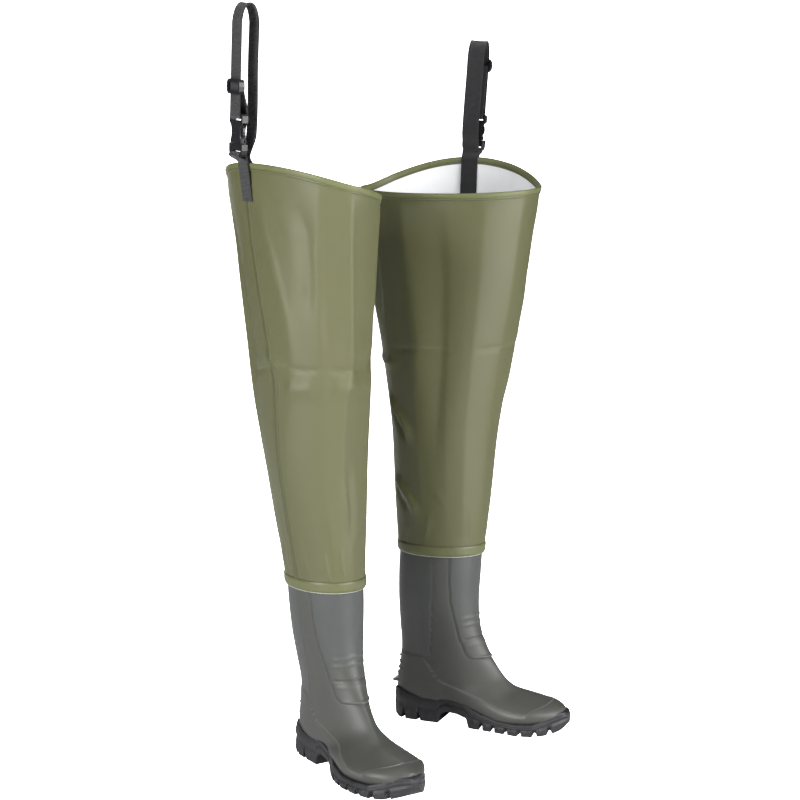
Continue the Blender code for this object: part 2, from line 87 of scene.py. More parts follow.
world = bpy.data.worlds.new("studio")
world.use_nodes = True
bpy.context.scene.world = world


def add_node(tree, kind, at=(0, 0), **settings):
    """A node of a material or group, with the given settings and values of its sockets."""
    made = tree.nodes.new("ShaderNode" + kind)
    made.location = at
    for name, value in settings.items():
        socket = name.replace("_", " ").title()
        if hasattr(made, name):
            setattr(made, name, value)
        else:
            made.inputs[socket].default_value = value
    return made


def new_material(name, colour, roughness, **values):
    """A material whose shader has those plain values, ready for more nodes."""
    material = bpy.data.materials.new(name)
    material.use_nodes = True
    shader = material.node_tree.nodes["Principled BSDF"]
    shader.inputs["Base Color"].default_value = (*colour, 1)
    shader.inputs["Roughness"].default_value = roughness
    for socket, value in values.items():
        shader.inputs[socket.replace("_", " ").title().replace("Ior", "IOR")].default_value = value
    return material


# the room is dim, and the paper behind is lit to near white on its own
room = world.node_tree
room_light = room.nodes["Background"]
room_light.inputs["Color"].default_value = (1, 1, 1, 1)
room_light.inputs["Strength"].default_value = 0.035
white_behind = room.nodes.new("ShaderNodeBackground")
white_behind.inputs["Strength"].default_value = 4.0
seen = room.nodes.new("ShaderNodeLightPath")
either = room.nodes.new("ShaderNodeMixShader")
room.links.new(seen.outputs["Is Camera Ray"], either.inputs[0])
room.links.new(room_light.outputs[0], either.inputs[1])
room.links.new(white_behind.outputs[0], either.inputs[2])
room.links.new(either.outputs[0], room.nodes["World Output"].inputs["Surface"])

paper = new_material("backdrop_paper", (0.93, 0.93, 0.93), 0.9, specular_ior_level=0.1)
paper_tree = paper.node_tree
paper_fibre = add_node(paper_tree, "TexNoise", (-400, 0), scale=60.0, detail=4.0)
paper_bump = add_node(paper_tree, "Bump", (-200, 0), strength=0.02)
paper_tree.links.new(paper_fibre.outputs["Fac"], paper_bump.inputs["Height"])
paper_tree.links.new(paper_bump.outputs["Normal"], paper_tree.nodes["Principled BSDF"].inputs["Normal"])
paper_shader = paper_tree.nodes["Principled BSDF"]
paper_shader.inputs["Emission Color"].default_value = (1, 1, 1, 1)
paper_seen = add_node(paper_tree, "LightPath", (-600, -300))
paper_glow = add_node(paper_tree, "Math", (-300, -300), operation="MULTIPLY")
paper_glow.inputs[1].default_value = 2.6
paper_tree.links.new(paper_seen.outputs["Is Camera Ray"], paper_glow.inputs[0])
paper_tree.links.new(paper_glow.outputs[0], paper_shader.inputs["Emission Strength"])

sweep = bmesh.new()
bmesh.ops.create_grid(sweep, x_segments=60, y_segments=60, size=14)
for vert in sweep.verts:
    beyond = min(4.0, max(0.0, math.hypot(vert.co.x, vert.co.y) - 8.0))
    vert.co.z = 0.10 * beyond ** 2
sweep_mesh = bpy.data.meshes.new("backdrop")
sweep.to_mesh(sweep_mesh)
sweep.free()
sweep_mesh.shade_smooth()
sweep_mesh.materials.append(paper)
backdrop = bpy.data.objects.new("backdrop", sweep_mesh)
bpy.context.scene.collection.objects.link(backdrop)

# ---------------------------------------------------------------- boots
# Each boot is one moulding of olive grey PVC with a matt skin. Front and rear panels are raised on its shaft,
# ribs cross the front where the ankle flexes, and a thicker rand runs from the heel counter round the toe cap.
STANCE = 0.252
TOE_OUT = math.radians(17)
ORIGIN_SHIFT = 0.0266
SIDES = {"right": -1, "left": 1}
SHELL_WALL = 0.0022
# (front fwd, front z, back fwd, back z, half width, middle outwards, flatness underfoot)
BOOT_RINGS = [
    (0.0655, 0.275, -0.0655, 0.275, 0.0505, 0.0120, 1.0),
    (0.0640, 0.235, -0.0670, 0.235, 0.0490, 0.0095, 1.0),
    (0.0625, 0.195, -0.0665, 0.190, 0.0455, 0.0070, 1.0),
    (0.0650, 0.160, -0.0640, 0.150, 0.0400, 0.0050, 1.0),
    (0.0710, 0.138, -0.0610, 0.115, 0.0365, 0.0030, 1.0),
    (0.0790, 0.121, -0.0620, 0.085, 0.0350, 0.0025, 0.9),
    (0.0880, 0.105, -0.0660, 0.056, 0.0345, 0.0020, 0.8),
    (0.0985, 0.090, -0.0630, 0.036, 0.0345, 0.0015, 0.7),
    (0.1090, 0.077, -0.0400, 0.025, 0.0350, 0.0010, 0.6),
    (0.1200, 0.067, 0.0100, 0.026, 0.0370, 0.0010, 0.55),
    (0.1340, 0.0575, 0.0550, 0.024, 0.0445, 0.0035, 0.55),
    (0.1580, 0.0520, 0.1000, 0.012, 0.0515, 0.0035, 0.55),
    (0.1780, 0.0485, 0.1400, 0.010, 0.0490, 0.0015, 0.55),
    (0.1920, 0.0455, 0.1740, 0.011, 0.0370, 0.0010, 0.6),
    (0.2020, 0.0410, 0.1960, 0.014, 0.0230, 0.0005, 0.8),
    (0.2070, 0.0380, 0.2055, 0.019, 0.0090, 0.0000, 1.0),
]
# (fwd, z) of the lines moulded on both sides of the boot
FRONT_PANEL_EDGE = [
    (0.030, 0.290), (0.0295, 0.230), (0.0315, 0.195), (0.035, 0.175), (0.0385, 0.158),
    (0.0445, 0.135), (0.054, 0.113), (0.0585, 0.107), (0.064, 0.1045), (0.100, 0.1045),
]
REAR_PANEL_EDGE = [(0.005, 0.290), (0.0045, 0.230), (0.003, 0.180), (0.000, 0.140), (-0.002, 0.106)]
RAND_EDGE = [
    (-0.090, 0.1035), (-0.016, 0.1035), (-0.0135, 0.100), (-0.0035, 0.090), (0.008, 0.072), (0.021, 0.065),
    (0.051, 0.056), (0.084, 0.047), (0.109, 0.0375), (0.133, 0.031), (0.149, 0.030), (0.230, 0.030),
]


def place(side, fwd, out, z):
    """A point of one wader, in the pair's own frame."""
    sign = SIDES[side]
    sine, cosine = math.sin(TOE_OUT), math.cos(TOE_OUT)
    x = sign * (STANCE / 2 + fwd * sine + out * cosine)
    y = -fwd * cosine + out * sine + ORIGIN_SHIFT
    return Vector((x, y, z))


def in_wader(side, points):
    """The fwd, out and z of an array of points in the pair's frame."""
    sine, cosine = math.sin(TOE_OUT), math.cos(TOE_OUT)
    across = SIDES[side] * points[:, 0] - STANCE / 2
    along = ORIGIN_SHIFT - points[:, 1]
    return across * sine + along * cosine, across * cosine - along * sine, points[:, 2]


def through_rows(rows, at):
    """Catmull-Rom through the rows of a table, by row number. It runs straight out of both ends."""
    k = min(int(at), len(rows) - 2)
    t = at - k
    low, high = rows[k], rows[k + 1]
    before = rows[k - 1] if k else [2 * a - b for a, b in zip(low, high)]
    after = rows[k + 2] if k + 2 < len(rows) else [2 * b - a for a, b in zip(low, high)]
    values = []
    for a, b, c, d in zip(before, low, high, after):
        bend = 2 * a - 5 * b + 4 * c - d + t * (3 * b - a - 3 * c + d)
        values.append(b + 0.5 * t * (c - a + t * bend))
    return values


def mapped_grid(columns, rows, point):
    """A grid whose every corner is moved to point(across, along), both from 0 to 1."""
    bm = bmesh.new()
    bmesh.ops.create_grid(bm, x_segments=columns, y_segments=rows, size=0.5)
    for vert in bm.verts:
        vert.co = point(vert.co.x + 0.5, vert.co.y + 0.5)
    bmesh.ops.remove_doubles(bm, verts=bm.verts, dist=1e-6)
    bmesh.ops.recalc_face_normals(bm, faces=bm.faces)
    return bm


def face_outwards(bm, middle_of):
    """Turns an open tube's faces away from its own middle line."""
    face = max(bm.faces, key=lambda f: f.calc_center_median().z)
    centre = face.calc_center_median()
    if face.normal.dot(centre - middle_of(centre.z)) < 0:
        bmesh.ops.reverse_faces(bm, faces=bm.faces)
    bm.normal_update()


def finished(name, bm, materials, body, nodes=()):
    """Turns a bmesh into a piece that rides on a body and stands for CAD nodes."""
    mesh = bpy.data.meshes.new(name)
    bm.to_mesh(mesh)
    bm.free()
    mesh.shade_smooth()
    for material in materials:
        mesh.materials.append(material)
    made = bpy.data.objects.new(name, mesh)
    bpy.context.scene.collection.objects.link(made)
    if body:
        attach(made, body)
    if nodes:
        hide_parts(*nodes)
    return made


def give_wall(piece, thickness, offset=-1.0, inner_slot=0):
    wall = piece.modifiers.new("wall", "SOLIDIFY")
    wall.thickness = thickness
    wall.offset = offset
    wall.material_offset = inner_slot
    return wall


def from_line(line, across, up):
    """For arrays of flat coordinates: the distance to a line of points, and how far along it, from 0 to 1."""
    nearest = np.full(len(across), 1e9)
    share = np.zeros(len(across))
    lengths = [math.dist(a, b) for a, b in zip(line, line[1:])]
    done = 0.0
    for (start, end), length in zip(zip(line, line[1:]), lengths):
        run = np.array(end) - np.array(start)
        t = np.clip(((across - start[0]) * run[0] + (up - start[1]) * run[1]) / length ** 2, 0, 1)
        distance = np.hypot(across - start[0] - t * run[0], up - start[1] - t * run[1])
        better = distance < nearest
        nearest = np.where(better, distance, nearest)
        share = np.where(better, (done + t * length) / sum(lengths), share)
        done += length
    return nearest, share


def soft_step(values, low, high):
    """0 below low, 1 above high, and smooth between."""
    t = np.clip((values - low) / (high - low), 0, 1)
    return t * t * (3 - 2 * t)


def bell(distance, width):
    return np.exp(-(distance / width) ** 2)


def boot_point(side, along, angle):
    """On the boot's skin: along runs from 0 at the shaft's top to 15 at the toe, and angle 0 is the front."""
    front_fwd, front_z, back_fwd, back_z, half_width, middle, flat = through_rows(BOOT_RINGS, along)
    cosine, sine = math.cos(angle), math.sin(angle)
    share = cosine if cosine > 0 else -abs(cosine) ** flat
    fwd = (front_fwd + back_fwd) / 2 + (front_fwd - back_fwd) / 2 * share
    z = (front_z + back_z) / 2 + (front_z - back_z) / 2 * share
    bulge = 1.9 - 0.9 * flat if cosine > 0 else 0.5 + flat / 2
    wide = math.copysign(abs(sine) ** bulge, sine)
    return place(side, fwd, middle + half_width * wide, z)


def boot_skin(side, around, along):
    """The boot's skin as an open tube, closed at the toe."""
    bm = mapped_grid(around, along, lambda u, v: boot_point(side, v * (len(BOOT_RINGS) - 1), 2 * math.pi * u))
    toe = [e for e in bm.edges if e.is_boundary and e.verts[0].co.z < 0.1]
    bmesh.ops.contextual_create(bm, geom=toe)
    bmesh.ops.recalc_face_normals(bm, faces=bm.faces)
    face_outwards(bm, lambda z: place(side, 0, 0.012, z))
    return bm


def move_along_normals(bm, distances):
    """Moves each vertex outwards by its own distance, and keeps the normals of the result."""
    moves = [(vert, vert.normal * float(distance)) for vert, distance in zip(bm.verts, distances)]
    for vert, move in moves:
        vert.co += move
    bm.normal_update()


def points_of(bm):
    return np.array([vert.co for vert in bm.verts])


def write_mask(piece, name, values):
    """A number for each vertex, for the material to read."""
    attribute = piece.data.attributes.new(name, "FLOAT", "POINT")
    attribute.data.foreach_set("value", np.asarray(values, dtype=np.float32))


def skin_group():
    """Shared by every moulded or coated surface: faint patches of colour and gloss, and a fine grain."""
    tree = bpy.data.node_groups.new("moulded_skin", "ShaderNodeTree")
    for name, kind, value in (
        ("Colour", "NodeSocketColor", (0.5, 0.5, 0.5, 1)), ("Patchiness", "NodeSocketFloat", 0.1),
        ("Patch Scale", "NodeSocketFloat", 12.0), ("Grain Scale", "NodeSocketFloat", 900.0),
        ("Grain Depth", "NodeSocketFloat", 0.1), ("Roughness", "NodeSocketFloat", 0.5),
    ):
        tree.interface.new_socket(name, in_out="INPUT", socket_type=kind).default_value = value
    for name, kind in (
        ("Colour", "NodeSocketColor"), ("Roughness", "NodeSocketFloat"), ("Normal", "NodeSocketVector"),
    ):
        tree.interface.new_socket(name, in_out="OUTPUT", socket_type=kind)
    given = add_node(tree, "TexCoord", (-900, 0))
    entry = tree.nodes.new("NodeGroupInput")
    result = tree.nodes.new("NodeGroupOutput")
    patches = add_node(tree, "TexNoise", (-700, 200), detail=5.0, roughness=0.6)
    grain = add_node(tree, "TexNoise", (-700, -200), detail=3.0, roughness=0.6)
    spread = add_node(tree, "MapRange", (-500, 200))
    spread.inputs["From Min"].default_value = 0.25
    spread.inputs["From Max"].default_value = 0.75
    spread.inputs["To Min"].default_value = -1
    shade = add_node(tree, "Math", (-300, 200), operation="MULTIPLY")
    brighter = add_node(tree, "Math", (-100, 200), operation="ADD")
    brighter.inputs[1].default_value = 1.0
    tint = add_node(tree, "VectorMath", (100, 200), operation="SCALE")
    gloss = add_node(tree, "Math", (100, 0), operation="MULTIPLY")
    bump = add_node(tree, "Bump", (100, -200), distance=0.0004)
    links = tree.links
    for texture in (patches, grain):
        links.new(given.outputs["Object"], texture.inputs["Vector"])
    links.new(entry.outputs["Patch Scale"], patches.inputs["Scale"])
    links.new(entry.outputs["Grain Scale"], grain.inputs["Scale"])
    links.new(patches.outputs["Fac"], spread.inputs["Value"])
    links.new(spread.outputs["Result"], shade.inputs[0])
    links.new(entry.outputs["Patchiness"], shade.inputs[1])
    links.new(shade.outputs[0], brighter.inputs[0])
    links.new(entry.outputs["Colour"], tint.inputs[0])
    links.new(brighter.outputs[0], tint.inputs["Scale"])
    links.new(entry.outputs["Roughness"], gloss.inputs[0])
    links.new(brighter.outputs[0], gloss.inputs[1])
    links.new(grain.outputs["Fac"], bump.inputs["Height"])
    links.new(entry.outputs["Grain Depth"], bump.inputs["Strength"])
    links.new(tint.outputs["Vector"], result.inputs["Colour"])
    links.new(gloss.outputs[0], result.inputs["Roughness"])
    links.new(bump.outputs["Normal"], result.inputs["Normal"])
    return tree


moulded_skin = skin_group()


def add_skin(material, patchiness, patch_scale, grain_scale, grain_depth, roughness, colour):
    """Feeds a material's colour, roughness and normal from the shared skin. Colour is a value or a socket."""
    tree = material.node_tree
    skin = tree.nodes.new("ShaderNodeGroup")
    skin.node_tree = moulded_skin
    skin.location = (-300, 0)
    skin.inputs["Patchiness"].default_value = patchiness
    skin.inputs["Patch Scale"].default_value = patch_scale
    skin.inputs["Grain Scale"].default_value = grain_scale
    skin.inputs["Grain Depth"].default_value = grain_depth
    skin.inputs["Roughness"].default_value = roughness
    if isinstance(colour, tuple):
        skin.inputs["Colour"].default_value = (*colour, 1)
    else:
        tree.links.new(colour, skin.inputs["Colour"])
    shader = tree.nodes["Principled BSDF"]
    tree.links.new(skin.outputs["Colour"], shader.inputs["Base Color"])
    tree.links.new(skin.outputs["Roughness"], shader.inputs["Roughness"])
    tree.links.new(skin.outputs["Normal"], shader.inputs["Normal"])
    return skin


def mix_by_mask(material, mask, plain, marked, at=(-700, 0)):
    """The socket of a colour that changes from plain to marked where a mask on the mesh is 1."""
    tree = material.node_tree
    masked = add_node(tree, "Attribute", (at[0] - 200, at[1]), attribute_name=mask)
    mixed = add_node(tree, "Mix", at, data_type="RGBA")
    for socket, colour in ((6, plain), (7, marked)):
        if isinstance(colour, tuple):
            mixed.inputs[socket].default_value = (*colour, 1)
        else:
            tree.links.new(colour, mixed.inputs[socket])
    tree.links.new(masked.outputs["Fac"], mixed.inputs[0])
    return mixed.outputs[2]


boot_pvc = new_material("boot_pvc", (0.105, 0.106, 0.085), 0.5)
boot_colour = mix_by_mask(boot_pvc, "panel", (0.066, 0.068, 0.061), (0.069, 0.073, 0.071))
# painted shade: darker in the grooves beside the panels, in the groove between the ribs and just above the rand's
# ledge
boot_colour = mix_by_mask(boot_pvc, "recess_shade", boot_colour, (0.040, 0.041, 0.037), (-500, -200))
# painted highlight: lighter on the rand's upward ledge, the lip at the foot of the front panel and the ribs
boot_colour = mix_by_mask(boot_pvc, "painted_highlight", boot_colour, (0.190, 0.195, 0.180), (-400, -300))
add_skin(boot_pvc, 0.06, 14.0, 1100.0, 0.16, 0.47, boot_colour)

for side in SIDES:
    bm = boot_skin(side, 176, 216)
    spots = points_of(bm)
    fwd, out, z = in_wader(side, spots)
    from_front, _ = from_line(FRONT_PANEL_EDGE, fwd, z)
    edge_at = np.interp(-z, [-p[1] for p in FRONT_PANEL_EDGE[:9]], [p[0] for p in FRONT_PANEL_EDGE[:9]])
    on_front = soft_step(fwd - edge_at, 0, 0.0014) * soft_step(z, 0.1040, 0.1054)
    rear_at = np.interp(-z, [-p[1] for p in REAR_PANEL_EDGE], [p[0] for p in REAR_PANEL_EDGE])
    from_rear, _ = from_line(REAR_PANEL_EDGE, fwd, z)
    on_rear = soft_step(rear_at - fwd, 0, 0.0012) * soft_step(z, 0.1035, 0.1060)
    flexing = soft_step(0.030 - np.abs(out - 0.003), 0, 0.006) * soft_step(fwd - edge_at, 0.002, 0.008)
    rise = z + 0.16 * np.abs(out - 0.003)
    rand_z = np.interp(fwd, [p[0] for p in RAND_EDGE], [p[1] for p in RAND_EDGE])
    cap_fwd = 0.187 - 12.0 * (out - 0.001) ** 2
    above_rand = np.minimum(z - rand_z, np.where(z > 0.028, cap_fwd - fwd, 1.0))
    on_rand = soft_step(-above_rand, -0.0012, 0.0014)
    distance = 0.0006 * on_front + 0.0003 * on_rear + 0.0011 * on_rand
    distance -= 0.0009 * bell(from_front, 0.0011) * (z > 0.1) + 0.0006 * bell(from_rear, 0.0009) * (z > 0.106)
    ribs = bell(rise - 0.1710, 0.0014) + 0.9 * bell(rise - 0.1605, 0.0016) + 0.5 * bell(rise - 0.1300, 0.0035)
    distance += 0.0011 * flexing * ribs
    distance -= 0.0010 * flexing * bell(rise - 0.1390, 0.0013)
    lip = bell(z - 0.1072, 0.0016) * soft_step(fwd, 0.062, 0.068) * (fwd < 0.1)
    distance += 0.0013 * lip
    # a soft hollow in front of each ankle bone
    distance -= 0.0016 * bell(z - 0.150, 0.030) * bell(fwd - 0.010, 0.020)
    move_along_normals(bm, distance)
    boot = finished(
        f"{side}_boot", bm, [boot_pvc], "boots_and_shins", [f"{side}_boot_shell"],
    )
    write_mask(boot, "panel", np.maximum(on_rear, on_front * soft_step(z, 0.150, 0.172)))
    # painted shade along the panel grooves, the rib groove and above the rand's ledge
    write_mask(boot, "recess_shade", np.clip(
        0.8 * bell(from_front, 0.0010) * (z > 0.1) + 0.5 * bell(from_rear, 0.0007) * (z > 0.106)
        + 0.6 * flexing * bell(rise - 0.1390, 0.0012) + 0.35 * bell(above_rand - 0.0022, 0.0012) * (z > 0.03), 0, 1))
    # painted highlight along the rand's ledge, on the lip and on the ribs
    edge_light = bell(above_rand, 0.0016) * (z > 0.029) * soft_step(fwd, -0.02, 0.0)
    write_mask(boot, "painted_highlight", np.clip(0.32 * edge_light + 0.25 * lip + 0.18 * flexing * ribs, 0, 1))
    give_wall(boot, SHELL_WALL)

# ---------------------------------------------------------------- heel studs and spurs
# Rows of small round studs are moulded up the back of each heel counter, over a ledge that the other foot
# presses on to pull the boot off.


def boot_at_height(side, angle, z):
    """The point of the skin at that angle and height, and the direction straight out of it."""
    low, high = 0.0, 8.0
    for _ in range(30):
        middle = (low + high) / 2
        if boot_point(side, middle, angle).z > z:
            low = middle
        else:
            high = middle
    spot = boot_point(side, low, angle)
    away = spot - boot_point(side, low, angle + math.pi)
    return spot, Vector((away.x, away.y, 0)).normalized()


# (height, degrees from the back)
STUD_ROWS = [
    (0.094, (-9, 9)), (0.085, (-24, -8, 8, 24)), (0.0755, (-30, -15, 0, 15, 30)), (0.066, (-24, -8, 8, 24)),
]
for side in SIDES:
    studs = bmesh.new()
    for height, angles in STUD_ROWS:
        for angle in angles:
            spot, away = boot_at_height(side, math.pi + math.radians(angle), height)
            made = bmesh.ops.create_icosphere(studs, subdivisions=2, radius=0.0021)
            bmesh.ops.translate(studs, vec=spot + away * 0.0014, verts=made["verts"])
    spot, away = boot_at_height(side, math.pi, 0.054)
    made = bmesh.ops.create_cube(studs, size=1)
    bmesh.ops.scale(studs, vec=(0.026, 0.012, 0.0048), verts=made["verts"])
    edges = list({e for v in made["verts"] for e in v.link_edges})
    bmesh.ops.bevel(studs, geom=edges, offset=0.0016, affect="EDGES", segments=3, profile=0.5, material=-1)
    ledge = [v for v in studs.verts if v.is_valid and abs(v.co.z) < 0.004 and v.co.length < 0.02]
    turn = away.to_track_quat("Y", "Z").to_matrix()
    bmesh.ops.rotate(studs, cent=(0, 0, 0), matrix=turn, verts=ledge)
    bmesh.ops.translate(studs, vec=spot + away * 0.0010, verts=ledge)
    stud_piece = finished(f"{side}_heel_studs", studs, [boot_pvc], "boots_and_shins")
    # the studs are lightened evenly by a little of the same painted highlight
    write_mask(stud_piece, "painted_highlight", np.full(len(stud_piece.data.vertices), 0.12))

# ---------------------------------------------------------------- outsoles
# The outsole is black rubber, moulded round the foot of the boot: deep lugs with cross grooves under the
# forefoot, an arched waist, a heel block, raised bars on its side wall, and a bumper up over the toe.
# (fwd, middle outwards, half width, underside z, top edge z)
SOLE_RINGS = [
    (-0.0685, 0.0015, 0.0120, 0.0130, 0.0430),
    (-0.0640, 0.0015, 0.0220, 0.0040, 0.0465),
    (-0.0550, 0.0015, 0.0300, 0.0000, 0.0440),
    (-0.0400, 0.0010, 0.0350, 0.0000, 0.0400),
    (-0.0150, 0.0010, 0.0365, 0.0000, 0.0360),
    (0.0120, 0.0010, 0.0370, 0.0000, 0.0380),
    (0.0165, 0.0010, 0.0370, 0.0150, 0.0405),
    (0.0260, 0.0010, 0.0375, 0.0200, 0.0410),
    (0.0450, 0.0015, 0.0405, 0.0190, 0.0385),
    (0.0610, 0.0015, 0.0435, 0.0150, 0.0345),
    (0.0655, 0.0015, 0.0445, 0.0000, 0.0330),
    (0.0850, 0.0045, 0.0500, 0.0000, 0.0250),
    (0.1150, 0.0050, 0.0545, 0.0000, 0.0190),
    (0.1450, 0.0020, 0.0555, 0.0000, 0.0180),
    (0.1700, 0.0010, 0.0490, 0.0000, 0.0190),
    (0.1850, 0.0010, 0.0380, 0.0010, 0.0240),
    (0.1960, 0.0005, 0.0290, 0.0030, 0.0310),
    (0.2060, 0.0000, 0.0190, 0.0070, 0.0340),
    (0.2120, 0.0000, 0.0120, 0.0120, 0.0340),
    (0.2150, 0.0000, 0.0060, 0.0180, 0.0310),
]
LUG_GROOVES_AT = [-0.044, -0.018, 0.084, 0.104, 0.126, 0.148, 0.170, 0.190]
sole_rubber = new_material("sole_rubber", (0.040, 0.040, 0.043), 0.55)
# lighter on the side bars and the toe bumper as painted highlight, and along the bottom edge as scuffing
sole_colour = mix_by_mask(sole_rubber, "scuffs_and_highlight", (0.021, 0.021, 0.024), (0.060, 0.060, 0.067))
add_skin(sole_rubber, 0.15, 40.0, 1300.0, 0.25, 0.52, sole_colour)


def sole_section(fwd):
    """Middle, half width, underside and top edge of the outsole at that length."""
    lengths = [ring[0] for ring in SOLE_RINGS]
    return [float(np.interp(fwd, lengths, [ring[k] for ring in SOLE_RINGS])) for k in range(1, 5)]


for side in SIDES:
    # round the section: the underside from one edge to the other, then up one wall, across and down the other
    wall_steps, under_steps = 12, 22
    section = [("under", k / under_steps) for k in range(under_steps)]
    section += [("outer", k / wall_steps) for k in range(wall_steps)]
    section += [("top", k / 4) for k in range(4)]
    section += [("inner", 1 - k / wall_steps) for k in range(wall_steps)]
    heel_end, toe_end = SOLE_RINGS[0][0], SOLE_RINGS[-1][0]
    stops = [heel_end + (toe_end - heel_end) * k / 236 for k in range(237)]

    def sole_point(across, along):
        fwd = stops[round(along * 236)]
        middle, half, low, high = sole_section(fwd)
        part, share = section[round(across * len(section)) % len(section)]
        if part == "under":
            return place(side, fwd, middle + half * 0.955 * (2 * share - 1), low)
        if part == "top":
            return place(side, fwd, middle + (half - 0.002) * (1 - 2 * share), high)
        round_off = 0.045 * half * (1 - min(share * 4, 1)) ** 2 + 0.0022 * max(0, share * 5 - 4) ** 2
        # the lugs stand out below a narrow groove under the band that holds the upper
        waist = 0.0016 * math.exp(-((share - 0.56) / 0.07) ** 2)
        reach = half - round_off - waist
        sign = 1 if part == "outer" else -1
        return place(side, fwd, middle + sign * reach, low + (high - low) * share)
    bm = mapped_grid(len(section), 236, sole_point)
    bmesh.ops.holes_fill(bm, edges=[e for e in bm.edges if e.is_boundary], sides=0)
    bmesh.ops.recalc_face_normals(bm, faces=bm.faces)
    bm.normal_update()
    spots = points_of(bm)
    fwd, out, z = in_wader(side, spots)
    low = np.interp(fwd, [r[0] for r in SOLE_RINGS], [r[3] for r in SOLE_RINGS])
    high = np.interp(fwd, [r[0] for r in SOLE_RINGS], [r[4] for r in SOLE_RINGS])
    half = np.interp(fwd, [r[0] for r in SOLE_RINGS], [r[2] for r in SOLE_RINGS])
    middle = np.interp(fwd, [r[0] for r in SOLE_RINGS], [r[1] for r in SOLE_RINGS])
    edge_share = np.clip(np.abs(out - middle) / half, 0, 1)
    groove = np.zeros(len(fwd))
    for k, at in enumerate(LUG_GROOVES_AT):
        slant = 0.006 * (edge_share - 0.5) * (1 if at > 0.06 else -1)
        groove = np.maximum(groove, 1 - soft_step(np.abs(fwd - at - slant), 0.0018, 0.0032))
    on_ground = soft_step(0.006 - low, 0, 0.004)
    channel = (1 - soft_step(edge_share, 0.10, 0.16)) * soft_step(np.abs(fwd - 0.04), 0.03, 0.032)
    cut = np.maximum(groove, channel) * on_ground
    wall_share = np.clip((z - low) / (high - low), 0, 1)
    between_lugs = groove * on_ground * (1 - soft_step(wall_share, 0.42, 0.55)) * soft_step(edge_share, 0.88, 0.95)
    raised = np.maximum(z, low + 0.0062 * cut)
    for vert, height in zip(bm.verts, raised):
        vert.co.z = float(height)
    bm.normal_update()
    # bars on the side wall, leaning back on the heel and forwards at the toe
    wall = soft_step(edge_share, 0.9, 0.97) * soft_step(z - low, 0.006, 0.008) * soft_step(high - z, 0.003, 0.005)
    lean = fwd + np.where(fwd < 0.05, -0.55, 0.45) * (z - 0.015)
    bars = np.zeros(len(fwd))
    for at in (-0.050, -0.036, -0.022, 0.000, 0.075, 0.094, 0.114, 0.136, 0.158, 0.178):
        bars = np.maximum(bars, 1 - soft_step(np.abs(lean - at), 0.0009, 0.0018))
    ledge = bell(z - high + 0.0045, 0.0012) * soft_step(edge_share, 0.9, 0.97)
    bumper = soft_step(fwd, 0.186, 0.196) * (
        bell(z - low - 0.45 * (high - low), 0.0016) + bell(z - low - 0.75 * (high - low), 0.0014))
    bars = bars * (wall_share < 0.5) * (on_ground > 0.5)
    move_along_normals(bm, 0.0007 * bars * wall - 0.0008 * ledge + 0.0012 * bumper - 0.0034 * between_lugs)
    # painted highlight on the bars and bumper, and scuffs at the bottom edge
    scuffs_and_highlight = np.clip(0.30 * bars * wall + 0.5 * bumper + 0.20 * soft_step(0.004 - z, 0, 0.003), 0, 1)
    outsole = finished(f"{side}_lugged_sole", bm, [sole_rubber], None)
    write_mask(outsole, "scuffs_and_highlight", scuffs_and_highlight)
    foot = boot_skin(side, 48, 60)
    rim = [e for e in foot.edges if e.is_boundary]
    bmesh.ops.contextual_create(foot, geom=rim)
    bmesh.ops.recalc_face_normals(foot, faces=foot.faces)
    foot.normal_update()
    move_along_normals(foot, [-0.0010] * len(foot.verts))
    foot_mesh = bpy.data.meshes.new("foot_form")
    foot.to_mesh(foot_mesh)
    foot.free()
    foot_form = bpy.data.objects.new("foot_form", foot_mesh)
    bpy.context.scene.collection.objects.link(foot_form)
    seat = outsole.modifiers.new("seat", "BOOLEAN")
    seat.operation = "DIFFERENCE"
    seat.object = foot_form
    seated = bpy.data.meshes.new_from_object(outsole.evaluated_get(bpy.context.evaluated_depsgraph_get()))
    outsole.modifiers.clear()
    outsole.data = seated
    seated.name = f"{side}_lugged_sole"
    seated.set_sharp_from_angle(angle=math.radians(38))
    bpy.data.objects.remove(foot_form)
    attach(outsole, "boots_and_shins")
    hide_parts(f"{side}_outsole")

# ---------------------------------------------------------------- linings and insoles
# Inside each boot a white knitted lining is bonded to the shell, and a grey felt insole lies loose on its bed.
# Only their materials are made here.
lining_knit = new_material("lining_knit", (0.82, 0.83, 0.85), 0.9, sheen_weight=0.2)
add_skin(lining_knit, 0.04, 20.0, 1500.0, 0.5, 0.9, (0.88, 0.89, 0.90))
insole_felt = new_material("insole_felt", (0.2, 0.2, 0.2), 0.95, sheen_weight=0.3)
add_skin(insole_felt, 0.15, 120.0, 1800.0, 0.8, 0.95, (0.19, 0.19, 0.195))
for side in SIDES:
    for node, material in ((f"{side}_boot_lining", lining_knit), (f"{side}_insole", insole_felt)):
        for place_in_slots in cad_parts[node].material_slots:
            place_in_slots.material = material

# ---------------------------------------------------------------- legs
# Each leg is one sheet of PVC-coated fabric, satin green outside and white knit inside, rolled into a tube
# and joined down its outer side. It hangs in broad soft facets, with packing creases and pinches at the knee.
FABRIC = 0.0012
WELD_BOTTOM, WELD_BAND_HIGH = 0.267, 0.016
RIM_OUTER, RIM_INNER = 0.8715, 0.8205
RIM_FRONT = {"right": 0.841, "left": 0.8285}
RIM_CURVE = {"right": 1.25, "left": 2.0}
